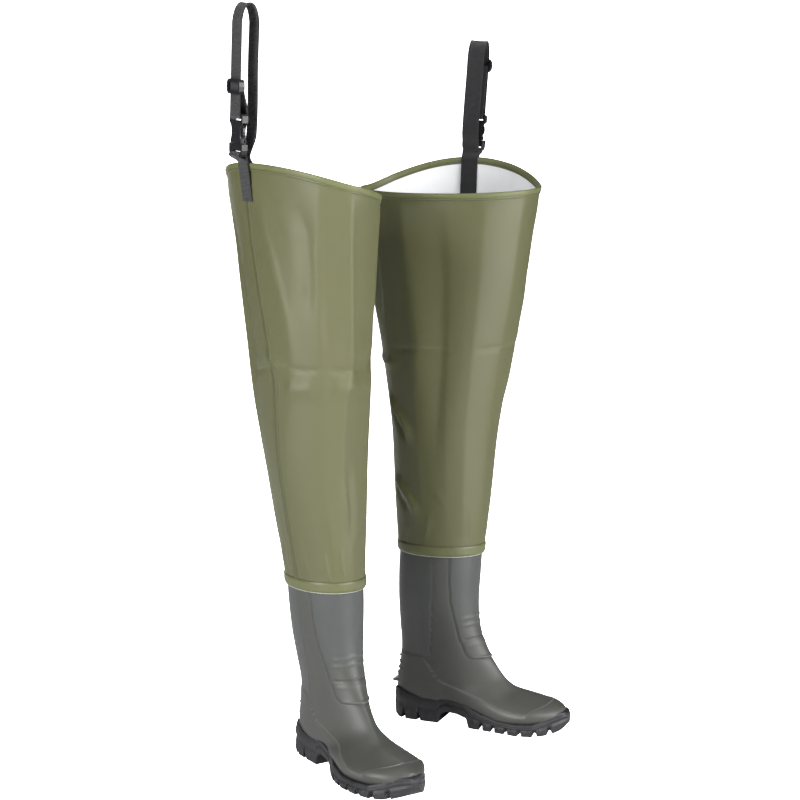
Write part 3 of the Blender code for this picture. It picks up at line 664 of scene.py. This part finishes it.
# (height, middle outwards, half width, half depth)
LEG_RINGS = [
    (0.262, 0.011, 0.0530, 0.068),
    (0.300, 0.014, 0.0540, 0.071),
    (0.380, 0.020, 0.0620, 0.076),
    (0.460, 0.026, 0.0700, 0.082),
    (0.540, 0.030, 0.0745, 0.094),
    (0.620, 0.034, 0.0770, 0.108),
    (0.700, 0.038, 0.0800, 0.122),
    (0.780, 0.041, 0.0840, 0.134),
    (0.880, 0.045, 0.0898, 0.152),
]
# the join wanders round the outer side: (z, degrees from the front)
SEAM_WANDER = [
    (0.26, 83), (0.37, 82), (0.475, 79), (0.545, 76), (0.576, 76), (0.603, 80), (0.693, 87), (0.762, 91), (0.88, 92),
]
# The hanging tube has broad flats. Each line, of (z, degrees), is where one flat ends and the next begins, and
# the number after it says how flat the next one is: more than 1 is hollow.
FLATS = {
    "right": [
        ([(0.3, -160)], 0.5), ([(0.3, -118)], 0.5), ([(0.3, -74)], 0.5), ([(0.3, -36)], 0.75),
        ([(0.31, -4), (0.36, -2), (0.48, 5), (0.55, 4), (0.585, -2), (0.666, 2), (0.757, 6), (0.84, 7)], 1.2),
        ([(0.315, 24), (0.40, 29), (0.48, 28), (0.597, 31), (0.69, 34), (0.758, 35), (0.84, 33)], 0.25),
        ([(0.30, 75), (0.39, 74), (0.50, 66), (0.54, 58), (0.584, 58), (0.665, 68), (0.755, 78), (0.83, 85)], 0.8),
        ([(0.30, 86), (0.47, 82), (0.55, 80), (0.60, 84), (0.69, 91), (0.76, 96), (0.84, 102)], 0.8),
        ([(0.30, 134)], 0.6), ([(0.30, 170)], 0.5),
    ],
    "left": [
        ([(0.3, -168)], 0.5), ([(0.34, -130), (0.84, -142)], 0.6), ([(0.34, -100), (0.84, -110)], 0.5),
        ([(0.30, -68), (0.84, -78)], 0.6), ([(0.30, -48), (0.84, -54)], 0.5), ([(0.30, -18), (0.84, -22)], 0.4),
        ([(0.30, 16), (0.84, 12)], 0.5), ([(0.30, 58)], 0.6), ([(0.30, 98)], 0.7), ([(0.30, 142)], 0.6),
    ],
}
# Folds of the outer side, on both legs: points of (degrees, z), how far each reaches to its sides, and its
# height, which is negative in a hollow. Distances in metres.
OUTER_FOLDS = [
    ([(82, 0.84), (72, 0.755), (60, 0.665), (54, 0.584)], 0.018, 0.0022),
    ([(50, 0.82), (43, 0.78), (41, 0.72), (42, 0.66)], 0.022, -0.0026),
    ([(76, 0.80), (66, 0.74), (57, 0.66)], 0.012, -0.0012),
    ([(70, 0.598), (58, 0.592), (44, 0.590), (28, 0.592)], 0.008, -0.0016),
    ([(66, 0.566), (52, 0.562), (34, 0.565)], 0.022, 0.0018),
    ([(88, 0.610), (78, 0.600), (70, 0.597)], 0.012, 0.0022),
    ([(120, 0.58), (100, 0.585), (82, 0.592)], 0.010, -0.0016),
    ([(60, 0.283), (66, 0.32), (68, 0.35)], 0.012, 0.0014),
    ([(92, 0.283), (96, 0.31), (95, 0.34)], 0.010, 0.0012),
]
FRONT_FOLDS = {
    "right": [
        ([(-55, 0.600), (-28, 0.592), (-4, 0.590)], 0.026, -0.0050),
        ([(-50, 0.645), (-8, 0.640)], 0.050, -0.0030),
        ([(27, 0.80), (28, 0.70), (24, 0.62)], 0.022, -0.0018),
        ([(33, 0.80), (35, 0.758), (34, 0.69), (31, 0.597)], 0.012, 0.0014),
        ([(7, 0.82), (6, 0.757), (2, 0.666), (-2, 0.585)], 0.012, 0.0018),
        ([(24, 0.591), (6, 0.588), (-16, 0.592)], 0.009, -0.0022),
        ([(20, 0.566), (0, 0.562), (-14, 0.566)], 0.020, 0.0020),
        ([(0, 0.46), (-4, 0.39), (-2, 0.33)], 0.022, -0.0026),
        ([(8, 0.285), (12, 0.31), (12, 0.335)], 0.010, 0.0014),
        ([(30, 0.285), (33, 0.305), (35, 0.33)], 0.010, 0.0012),
    ],
    "left": [
        ([(26, 0.700), (26, 0.610), (26, 0.500)], 0.070, 0.0060),
        ([(14, 0.606), (38, 0.600), (60, 0.606)], 0.020, 0.0020),
        ([(22, 0.592), (-10, 0.589), (-50, 0.587)], 0.009, -0.0014),
        ([(-72, 0.823), (-66, 0.812), (-62, 0.795)], 0.012, -0.0020),
        ([(-30, 0.285), (-34, 0.31), (-36, 0.34)], 0.012, 0.0012),
        ([(4, 0.285), (0, 0.31), (-2, 0.34)], 0.012, 0.0011),
    ],
}
# folds of the inner side and the back, where the tube pinches behind the knee
INNER_FOLDS = [
    ([(-150, 0.512), (-140, 0.500), (-126, 0.480), (-117, 0.463), (-111, 0.440)], 0.014, 0.0050),
    ([(-158, 0.494), (-142, 0.482), (-128, 0.462), (-119, 0.444)], 0.012, -0.0042),
    ([(-150, 0.385), (-133, 0.373), (-119, 0.357), (-110, 0.340), (-106, 0.322)], 0.016, 0.0042),
    ([(-152, 0.368), (-134, 0.352), (-120, 0.336)], 0.012, -0.0034),
    ([(-130, 0.584), (-92, 0.589), (-63, 0.588)], 0.009, -0.0015),
    ([(-170, 0.570), (-150, 0.560), (-128, 0.562)], 0.014, 0.0026),
    ([(-112, 0.82), (-106, 0.72), (-100, 0.60), (-104, 0.50)], 0.034, 0.0034),
    ([(-84, 0.80), (-80, 0.70), (-78, 0.56), (-82, 0.42)], 0.030, -0.0026),
    ([(-140, 0.84), (-142, 0.74), (-146, 0.62)], 0.034, -0.0034),
    ([(-168, 0.83), (-172, 0.72), (-174, 0.60)], 0.030, 0.0030),
    ([(178, 0.50), (174, 0.44), (172, 0.38)], 0.024, -0.0036),
    ([(160, 0.56), (150, 0.50), (140, 0.47)], 0.016, 0.0038),
    ([(150, 0.82), (146, 0.70), (140, 0.58), (138, 0.46)], 0.032, 0.0036),
    ([(128, 0.80), (124, 0.68), (118, 0.56)], 0.030, -0.0028),
    ([(-83, 0.371), (-71, 0.348)], 0.012, 0.0010),
    ([(-96, 0.285), (-92, 0.31), (-90, 0.33)], 0.010, 0.0012),
    ([(-124, 0.285), (-120, 0.31)], 0.010, 0.0014),
]


def leg_section(z):
    """Middle, half width and half depth of the leg at a height."""
    heights = [ring[0] for ring in LEG_RINGS]
    k = max(i for i in range(len(heights) - 1) if i == 0 or heights[i] <= z)
    return through_rows([ring[1:] for ring in LEG_RINGS], k + (z - heights[k]) / (heights[k + 1] - heights[k]))


def rim_height(side, angle):
    """Top edge of the fabric, at a number or an array: highest on the outer side, where the strap is sewn."""
    sine = np.sin(angle)
    front = RIM_FRONT[side]
    outer_side = front + (RIM_OUTER - front) * np.clip(sine, 0, 1) ** RIM_CURVE[side]
    return outer_side + (RIM_INNER - front) * np.clip(-sine, 0, 1)


def flatness(side, angles, heights):
    """How far the broad flats push the fabric outwards, which is inwards away from their edges."""
    corner_softness, all_flats, corner_stands_out = 0.0060, 0.85, 0.0020
    stations = np.linspace(0.262, 0.880, 60)
    sections = [leg_section(float(z)) for z in stations]
    wide = np.interp(heights, stations, [row[1] for row in sections])
    deep = np.interp(heights, stations, [row[2] for row in sections])
    reach = np.hypot(deep * np.cos(angles), wide * np.sin(angles))
    edges = [np.radians(np.interp(heights, [p[0] for p in line], [p[1] for p in line])) for line, _ in FLATS[side]]
    total = np.zeros(len(angles))
    for k, (_, flat) in enumerate(FLATS[side]):
        start = edges[k]
        end = edges[(k + 1) % len(edges)] + (2 * math.pi if k == len(edges) - 1 else 0)
        for turn in (0, 2 * math.pi):
            here = (angles + turn >= start) & (angles + turn < end)
            half, off_middle = (end - start) / 2, angles + turn - (start + end) / 2
            sag = 1 - np.cos(half) / np.cos(np.clip(off_middle, -1.2, 1.2))
            sag = np.sqrt(np.maximum(sag, 0) ** 2 + corner_softness ** 2) - corner_softness
            total = np.where(here, -flat * all_flats * reach * sag, total)
    return total + corner_stands_out


def fold_depth(side, angles, heights):
    """How far the folds push the fabric outwards at arrays of angles (radians, -pi to pi) and heights."""
    round_leg = 0.085
    total = flatness(side, angles, heights) * soft_step(heights, 0.275, 0.360)
    marked = np.zeros(len(angles))
    for line, reach, tall in OUTER_FOLDS + FRONT_FOLDS[side] + INNER_FOLDS:
        flat_line = [(math.radians(a) * round_leg, z) for a, z in line]
        for turn in (-1, 0, 1):
            across = (angles + 2 * math.pi * turn) * round_leg
            distance, share = from_line(flat_line, across, heights)
            crest = np.clip(1 - np.sqrt((distance / reach) ** 2 + 0.012), 0, 1) ** 1.7
            taper = soft_step(np.minimum(share, 1 - share), -0.08, 0.25)
            # soft folds stand out more than the pressed creases and the wide swells
            total += (1.5 if 0.0135 < reach < 0.045 else 1.0) * tall * crest * taper
            if reach < 0.011:
                marked += np.clip(1 - distance / 0.0022, 0, 1) * taper
    # the tube is drawn in at both ends
    hold = soft_step(heights, 0.270, 0.305)
    hold = hold * (0.35 + 0.65 * (1 - soft_step(heights - rim_height(side, angles), -0.035, -0.008)))
    return total * hold, np.clip(marked, 0, 1)


def leg_surface(side, angle, z, offset=0.0):
    """On the outside of the fabric without its folds. Angle 0 is the front and 90 degrees the outer side."""
    middle, half_width, half_depth = leg_section(z)
    fwd = (half_depth + offset) * math.cos(angle)
    out = middle + (half_width + offset) * math.sin(angle)
    return place(side, fwd, out, z)


def leg_strip(side, start, end, columns, low, high, rows, offset):
    """A patch of the leg's outer surface between two angles and two heights, with the leg's folds in it.

    The angles, the heights and the offset may each be a number or depend on the angle or on the height.
    """
    grid = []

    def spot(across, along):
        rough = start + (end - start) * across if not callable(start) else None
        if rough is None:
            z = low + (high - low) * along
            angle = start(z) + (end(z) - start(z)) * across
        else:
            angle = rough
            z = low(angle) + (high(angle) - low(angle)) * along
        grid.append((angle, z))
        lift = offset(across, along) if callable(offset) else offset
        return leg_surface(side, angle, z, lift)
    bm = bmesh.new()
    bmesh.ops.create_grid(bm, x_segments=columns, y_segments=rows, size=0.5)
    for vert in bm.verts:
        vert.co = spot(vert.co.x + 0.5, vert.co.y + 0.5)
    angles = np.array([g[0] for g in grid])
    angles = (angles + math.pi) % (2 * math.pi) - math.pi
    folds, marked = fold_depth(side, angles, np.array([g[1] for g in grid]))
    for vert, (angle, z), move in zip(bm.verts, grid, folds):
        middle, half_width, half_depth = leg_section(z)
        fwd, out = math.cos(angle) / half_depth, math.sin(angle) / half_width
        size = math.hypot(fwd, out)
        vert.co += (place(side, fwd / size, out / size, 0) - place(side, 0, 0, 0)) * float(move)
    layer = bm.verts.layers.float.new("crease")
    for vert, value in zip(bm.verts, marked):
        vert[layer] = float(value)
    bmesh.ops.remove_doubles(bm, verts=bm.verts, dist=1e-6)
    bmesh.ops.recalc_face_normals(bm, faces=bm.faces)
    highest = max(bm.faces, key=lambda f: f.calc_center_median().z)
    centre = highest.calc_center_median()
    if highest.normal.dot(centre - place(side, 0, leg_section(centre.z)[0], centre.z)) < 0:
        bmesh.ops.reverse_faces(bm, faces=bm.faces)
    bm.normal_update()
    return bm


coated_fabric = new_material("coated_fabric", (0.2, 0.2, 0.1), 0.42)
fabric_colour = mix_by_mask(coated_fabric, "crease", (0.103, 0.105, 0.046), (0.130, 0.132, 0.068))
add_skin(coated_fabric, 0.035, 5.0, 1400.0, 0.06, 0.50, fabric_colour)


def bend_at_knee(piece):
    """Bakes the piece's placement into its mesh."""
    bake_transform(piece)


legs = {}
for side in SIDES:
    bm = leg_strip(
        side, -math.pi, math.pi, 200, lambda a: WELD_BOTTOM, lambda a: float(rim_height(side, a)), 168, FABRIC / 2,
    )
    legs[side] = finished(
        f"{side}_leg", bm, [coated_fabric, lining_knit], None,
        [f"{side}_{part}_fabric" for part in ("shin", "knee", "thigh")],
    )
    give_wall(legs[side], FABRIC, inner_slot=1)
    bend_at_knee(legs[side])

# ---------------------------------------------------------------- seam tapes
# The join of each leg is covered by a narrow tape of the same coated fabric, welded flat, with a fine groove
# beside each edge.
SEAM_WIDE, SEAM_THICK = 0.009, 0.0007
tape_fabric = new_material("tape_fabric", (0.18, 0.19, 0.09), 0.45)
add_skin(tape_fabric, 0.05, 30.0, 1400.0, 0.12, 0.45, (0.078, 0.082, 0.034))
seams = {}
for side in SIDES:
    def seam_angle(z):
        return math.radians(float(np.interp(z, [p[0] for p in SEAM_WANDER], [p[1] for p in SEAM_WANDER])))

    def edge_of_seam(sign):
        return lambda z: seam_angle(z) + sign * SEAM_WIDE / 2 / leg_section(z)[2]
    bm = leg_strip(
        side, edge_of_seam(-1), edge_of_seam(1), 6, WELD_BOTTOM + 0.004, RIM_OUTER - 0.006, 220,
        lambda across, along: FABRIC / 2 + 0.0001 + SEAM_THICK * min(1, 4 * min(across, 1 - across)),
    )
    seams[side] = finished(
        f"{side}_seam_tape", bm, [tape_fabric], None,
        [f"{side}_{part}_seam_tape" for part in ("shin", "knee", "thigh")],
    )
    give_wall(seams[side], 0.0006)
    bend_at_knee(seams[side])

# ---------------------------------------------------------------- weld bands
# The bottom of each leg is folded under and welded round the boot's shaft in a flat band, and a pale bead of
# glue has squeezed out under it.
band_fabric = new_material("band_fabric", (0.2, 0.2, 0.1), 0.42)
# painted shade: darker along the band's top edge, where the fold meets the leg
band_colour = mix_by_mask(band_fabric, "groove", (0.122, 0.128, 0.056), (0.045, 0.048, 0.022))
add_skin(band_fabric, 0.06, 30.0, 1400.0, 0.12, 0.42, band_colour)
glue = new_material("glue_bead", (0.62, 0.64, 0.58), 0.45)
add_skin(glue, 0.25, 300.0, 900.0, 0.3, 0.45, (0.50, 0.52, 0.45))
bands = {}
for side in SIDES:
    def band_lift(across, along):
        rounded = 0.0012 * min(1, 5 * min(along, 1 - along))
        turn = 6.28 * across
        uneven = noise.noise(Vector((14 * math.sin(turn), 14 * math.cos(turn), 3 * along)))
        return FABRIC / 2 + 0.0002 + rounded + 0.0003 * uneven
    bm = leg_strip(
        side, -math.pi, math.pi, 180, lambda a: WELD_BOTTOM, lambda a: WELD_BOTTOM + WELD_BAND_HIGH, 14, band_lift,
    )
    height = points_of(bm)[:, 2]
    bands[side] = finished(
        f"{side}_welded_fold", bm, [band_fabric], "boots_and_shins", [f"{side}_weld_band"],
    )
    # painted shade along the band's top edge
    write_mask(bands[side], "groove", 0.9 * bell(height - WELD_BOTTOM - WELD_BAND_HIGH, 0.0011))
    give_wall(bands[side], 0.0016)

    def bead_point(across, along):
        angle, turn = 2 * math.pi * across, 2 * math.pi * along
        uneven = noise.noise(Vector((20 * math.cos(angle), 20 * math.sin(angle), 1.7)))
        radius = 0.00085 + 0.0004 * uneven
        middle, half_width, half_depth = leg_section(WELD_BOTTOM)
        reach = radius * math.cos(turn) - 0.0004
        z = WELD_BOTTOM - 0.0004 + 0.0005 * uneven + radius * math.sin(turn)
        return place(side, (half_depth + reach) * math.cos(angle), middle + (half_width + reach) * math.sin(angle), z)
    finished(
        f"{side}_glue_bead", mapped_grid(220, 8, bead_point), [glue], "boots_and_shins",
    )

# ---------------------------------------------------------------- top bindings
# A yellower green binding of coated tape is folded over the top edge of each leg, and sewn down near its lower
# edge by one row of stitches that sinks into it.
HEM_HIGH = 0.010
binding = new_material("binding", (0.25, 0.27, 0.12), 0.5)
# painted shade: darker along the sunken row of stitches and along the binding's lower edge
binding_colour = mix_by_mask(binding, "groove", (0.132, 0.142, 0.055), (0.048, 0.052, 0.024))
add_skin(binding, 0.06, 60.0, 1400.0, 0.15, 0.48, binding_colour)
hems = {}
for side in SIDES:
    # up the outside, over the top and down the inside
    profile = [
        (0.0010, -1.0), (0.0016, -0.94), (0.0018, -0.80), (0.0013, -0.72), (0.0019, -0.62), (0.0021, -0.30),
        (0.0019, -0.05), (0.0013, 0.06), (0.0, 0.11), (-0.0013, 0.06), (-0.0019, -0.05), (-0.0021, -0.30),
        (-0.0019, -0.62), (-0.0013, -0.72), (-0.0018, -0.80), (-0.0016, -0.94), (-0.0010, -1.0),
    ]

    turns = np.linspace(-math.pi, math.pi, 241)
    lifts, _ = fold_depth(side, turns, rim_height(side, turns) - 0.003)

    def hem_point(across, along):
        angle = 2 * math.pi * across - math.pi
        offset, rise = profile[round(along * (len(profile) - 1))]
        z = float(rim_height(side, angle)) + rise * HEM_HIGH
        offset *= 1 + 0.10 * noise.noise(Vector((30 * math.cos(angle), 30 * math.sin(angle), rise)))
        return leg_surface(side, angle, z, offset + float(lifts[round(across * 240)]))
    bm = mapped_grid(240, len(profile) - 1, hem_point)
    bmesh.ops.bridge_loops(bm, edges=[e for e in bm.edges if e.is_boundary])
    bmesh.ops.recalc_face_normals(bm, faces=bm.faces)
    spots = points_of(bm)
    fwd, out, z = in_wader(side, spots)
    hems[side] = finished(f"{side}_top_binding", bm, [binding], f"{side}_thigh", [f"{side}_top_hem"])
    turn = np.arctan2((out - 0.0449) / 0.0885, fwd / 0.1480)
    below = z - rim_height(side, turn)
    sewn, edge = bell(below + 0.72 * HEM_HIGH, 0.0009), bell(below + HEM_HIGH, 0.0007)
    # painted shade along the stitches and the lower edge
    write_mask(hems[side], "groove", 0.8 * sewn + 0.7 * edge)

# ---------------------------------------------------------------- straps
# Black ribbed webbing closes each leg's belt loop. It is sewn down outside and inside the top of the join,
# rises from inside over the belt, comes down through the slider to the buckle, and turns back up to the slider.
WEBBING_WIDE, WEBBING = 0.027, 0.0015
HINGE_Z = 0.877
STRAP_LEAN = math.radians(4.2)  # towards the toe
PATCH_LONG = 0.052
INNER_RUN_OUT, OUTER_RUN_OUT = 0.1265, 0.1530
LOOP_TOP = {"right": 1.087, "left": 1.053}
SLIDER_Z = {"right": 0.975, "left": 1.015}
BUCKLE_IN, BUCKLE_OUT = 0.1425, 0.1513
SOCKET_TOP = 0.9385
webbing = new_material("webbing", (0.03, 0.03, 0.032), 0.75, sheen_weight=0.25)
webbing.node_tree.nodes["Principled BSDF"].inputs["Sheen Roughness"].default_value = 0.4


def weave(material):
    """Ribs across the webbing, each of them a row of twisted yarns, from its own lengthwise map."""
    tree = material.node_tree
    links = tree.links
    shader = tree.nodes["Principled BSDF"]
    lengthwise = add_node(tree, "UVMap", (-1300, 0), uv_map="webbing")
    split = add_node(tree, "SeparateXYZ", (-1100, 0))
    links.new(lengthwise.outputs["UV"], split.inputs[0])
    parts = {}
    for name, source, per_metre in (("rib", "Y", 560.0), ("yarn", "X", 900.0)):
        turns = add_node(tree, "Math", (-900, 0), operation="MULTIPLY")
        turns.inputs[1].default_value = per_metre * 2 * math.pi
        wave = add_node(tree, "Math", (-700, 0), operation="SINE")
        links.new(split.outputs[source], turns.inputs[0])
        links.new(turns.outputs[0], wave.inputs[0])
        parts[name] = wave.outputs[0]
    yarn_share = add_node(tree, "Math", (-500, -100), operation="MULTIPLY")
    yarn_share.inputs[1].default_value = 0.35
    links.new(parts["yarn"], yarn_share.inputs[0])
    relief = add_node(tree, "Math", (-350, 0), operation="ADD")
    links.new(parts["rib"], relief.inputs[0])
    links.new(yarn_share.outputs[0], relief.inputs[1])
    bump = add_node(tree, "Bump", (-150, -200), strength=0.9, distance=0.0004)
    links.new(relief.outputs[0], bump.inputs["Height"])
    links.new(bump.outputs["Normal"], shader.inputs["Normal"])
    # painted shade and highlight: the colour follows the relief, darker in the valleys between ribs and yarns and
    # lighter on their crests
    ramp = add_node(tree, "MapRange", (-150, 100))
    ramp.inputs["From Min"].default_value = -1.2
    ramp.inputs["From Max"].default_value = 1.2
    links.new(relief.outputs[0], ramp.inputs["Value"])
    mixed = add_node(tree, "Mix", (50, 100), data_type="RGBA")
    mixed.inputs[6].default_value = (0.006, 0.006, 0.007, 1)
    mixed.inputs[7].default_value = (0.020, 0.020, 0.023, 1)
    links.new(ramp.outputs["Result"], mixed.inputs[0])
    links.new(mixed.outputs[2], shader.inputs["Base Color"])


weave(webbing)


def hung(side, fwd, out, z):
    """A point of the strap, which leans towards the toe from where it leaves the binding."""
    rise = z - HINGE_Z
    lean = STRAP_LEAN * min(1, max(0, rise / 0.006 + 0.5))
    sine, cosine = math.sin(lean), math.cos(lean)
    return place(side, fwd * cosine + rise * sine, out, HINGE_Z + rise * cosine - fwd * sine)


def arc(middle_out, middle_z, radius_out, radius_z, start, end, steps):
    """Points of a part of an ellipse, angles in degrees, 0 being outwards and 90 up."""
    points = []
    for k in range(steps + 1):
        angle = math.radians(start + (end - start) * k / steps)
        points.append((middle_out + radius_out * math.cos(angle), middle_z + radius_z * math.sin(angle)))
    return points


def spread_evenly(route, step):
    """Points at equal steps along a smooth curve through the route's points."""
    fine = [tuple(through_rows(route, k / 8)) for k in range(8 * (len(route) - 1) + 1)]
    lengths = [0.0]
    for a, b in zip(fine, fine[1:]):
        lengths.append(lengths[-1] + math.dist(a, b))
    count = max(2, round(lengths[-1] / step))
    stops = [lengths[-1] * k / count for k in range(count + 1)]
    return [tuple(np.interp(s, lengths, [p[k] for p in fine]) for k in range(2)) for s in stops], stops


def ribbon(name, side, route, body, nodes=(), wide=WEBBING_WIDE, crown=0.0):
    """Webbing that follows a route of (out, z) points, with its lengthwise map and rounded edges."""
    spots, stops = spread_evenly(route, 0.0022)
    rows = len(spots) - 1

    def point(across, along):
        k = round(along * rows)
        out, z = spots[k]
        a, b = spots[max(k - 1, 0)], spots[min(k + 1, rows)]
        run = Vector((b[0] - a[0], b[1] - a[1])).normalized()
        bow = crown * (1 - (2 * across - 1) ** 2)
        return hung(side, (across - 0.5) * wide, out + run.y * bow, z - run.x * bow)
    bm = bmesh.new()
    bmesh.ops.create_grid(bm, x_segments=8, y_segments=rows, size=0.5)
    layer = bm.loops.layers.uv.new("webbing")
    for face in bm.faces:
        for loop in face.loops:
            u, v = loop.vert.co.x + 0.5, loop.vert.co.y + 0.5
            loop[layer].uv = (u * wide, stops[round(v * rows)])
    for vert in bm.verts:
        vert.co = point(vert.co.x + 0.5, vert.co.y + 0.5)
    bmesh.ops.recalc_face_normals(bm, faces=bm.faces)
    made = finished(name, bm, [webbing], body, nodes)
    give_wall(made, WEBBING, offset=0.0)
    rounding = made.modifiers.new("soft_edge", "BEVEL")
    rounding.width = 0.0004
    rounding.segments = 2
    rounding.limit_method = "ANGLE"
    rounding.angle_limit = math.radians(60)
    return made


for side in SIDES:
    top = LOOP_TOP[side] - WEBBING / 2
    middle = (INNER_RUN_OUT + OUTER_RUN_OUT) / 2
    radius = (OUTER_RUN_OUT - INNER_RUN_OUT) / 2
    rise = 0.030
    bar_middle = (BUCKLE_IN + BUCKLE_OUT) / 2
    turn_z = SOCKET_TOP - 0.004
    back_out = 2 * bar_middle - OUTER_RUN_OUT
    loop_route = [(0.1358, 0.8815), (0.1350, 0.886), (0.1320, 0.894), (0.1285, 0.903), (INNER_RUN_OUT, 0.914)]
    loop_route += [(INNER_RUN_OUT - 0.0006, 0.95), (INNER_RUN_OUT + 0.0004, 1.0)]
    loop_route += arc(middle, top - rise, radius, rise, 180, 0, 14)
    loop_route += [(OUTER_RUN_OUT, 0.99), (OUTER_RUN_OUT, 0.95)]
    strap_loop = ribbon(
        f"{side}_strap_loop", side, loop_route, None, [f"{side}_strap_inner_run", f"{side}_strap_outer_run"],
        crown=0.0006,
    )
    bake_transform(strap_loop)
    turn_route = [(OUTER_RUN_OUT, 0.951), (OUTER_RUN_OUT, 0.942)]
    turn_route += arc(bar_middle, turn_z, OUTER_RUN_OUT - bar_middle, 0.0023, 0, -180, 8)
    turn_route += [(back_out, SOCKET_TOP + 0.0008)]
    ribbon(f"{side}_strap_turn", side, turn_route, f"{side}_strap_end")
    tail_top = SLIDER_Z[side] - 0.001
    tail = ribbon(f"{side}_strap_tail", side, [
        (back_out, SOCKET_TOP + 0.0005), (back_out + 0.001, SOCKET_TOP + 0.010),
        (OUTER_RUN_OUT - 0.0062, tail_top - 0.008), (OUTER_RUN_OUT - 0.0062, tail_top),
    ], None, [f"{side}_strap_tail"])
    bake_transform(tail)
    # sewn ends: outside over the binding and through the plug, and inside behind the binding
    rim_out = leg_section(RIM_OUTER)[0] + leg_section(RIM_OUTER)[1]
    low_out = leg_section(RIM_OUTER - PATCH_LONG)[0] + leg_section(RIM_OUTER - PATCH_LONG)[1]
    reach = OUTER_RUN_OUT - bar_middle
    # the folds of the fabric under the sewn ends lift them too
    patch_ends = np.array([RIM_OUTER - PATCH_LONG, RIM_OUTER - 0.010])
    lift_low, lift_high = fold_depth(side, np.array([math.pi / 2] * 2), patch_ends)[0]
    low_out += float(lift_low)
    rim_out += float(lift_high)
    outer_route = [(low_out + 0.0019, RIM_OUTER - PATCH_LONG), (rim_out + 0.0022, RIM_OUTER - 0.016)]
    outer_route += [(rim_out + 0.0040, RIM_OUTER - 0.004), (rim_out + 0.0055, RIM_OUTER + 0.003)]
    outer_route += [(bar_middle + reach, 0.8813)]
    outer_route += arc(bar_middle, 0.8845, reach, 0.0023, 0, 180, 8)[1:]
    outer_route += [(bar_middle - reach, 0.8813), (rim_out + 0.0035, RIM_OUTER + 0.001)]
    outer_patch = ribbon(
        f"{side}_outer_strap_end", side, outer_route, None, [f"{side}_outer_strap_patch", f"{side}_buckle_tab"],
    )
    inner_route = [(low_out - 0.0040, RIM_OUTER - PATCH_LONG - 0.006), (rim_out - 0.0042, RIM_OUTER - 0.012)]
    inner_route += [(rim_out - 0.0036, RIM_OUTER - 0.002), (0.1352, 0.8790), (0.1358, 0.8830)]
    inner_patch = ribbon(
        f"{side}_inner_strap_end", side, inner_route, None, [f"{side}_inner_strap_patch"],
    )
    for patch in (outer_patch, inner_patch):
        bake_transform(patch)

# ---------------------------------------------------------------- buckles and sliders
# Side-release buckles and three-bar sliders hold the straps. They are moulded in black plastic with a fine
# spark-eroded grain, and only their materials are made here.
buckle_plastic = new_material("buckle_plastic", (0.03, 0.03, 0.032), 0.34)
add_skin(buckle_plastic, 0.10, 60.0, 2200.0, 0.12, 0.34, (0.014, 0.014, 0.016))
for side in SIDES:
    for part in ("buckle_plug", "buckle_prong_front", "buckle_prong_rear", "buckle_socket", "slider"):
        for place_in_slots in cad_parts[f"{side}_{part}"].material_slots:
            place_in_slots.material = buckle_plastic
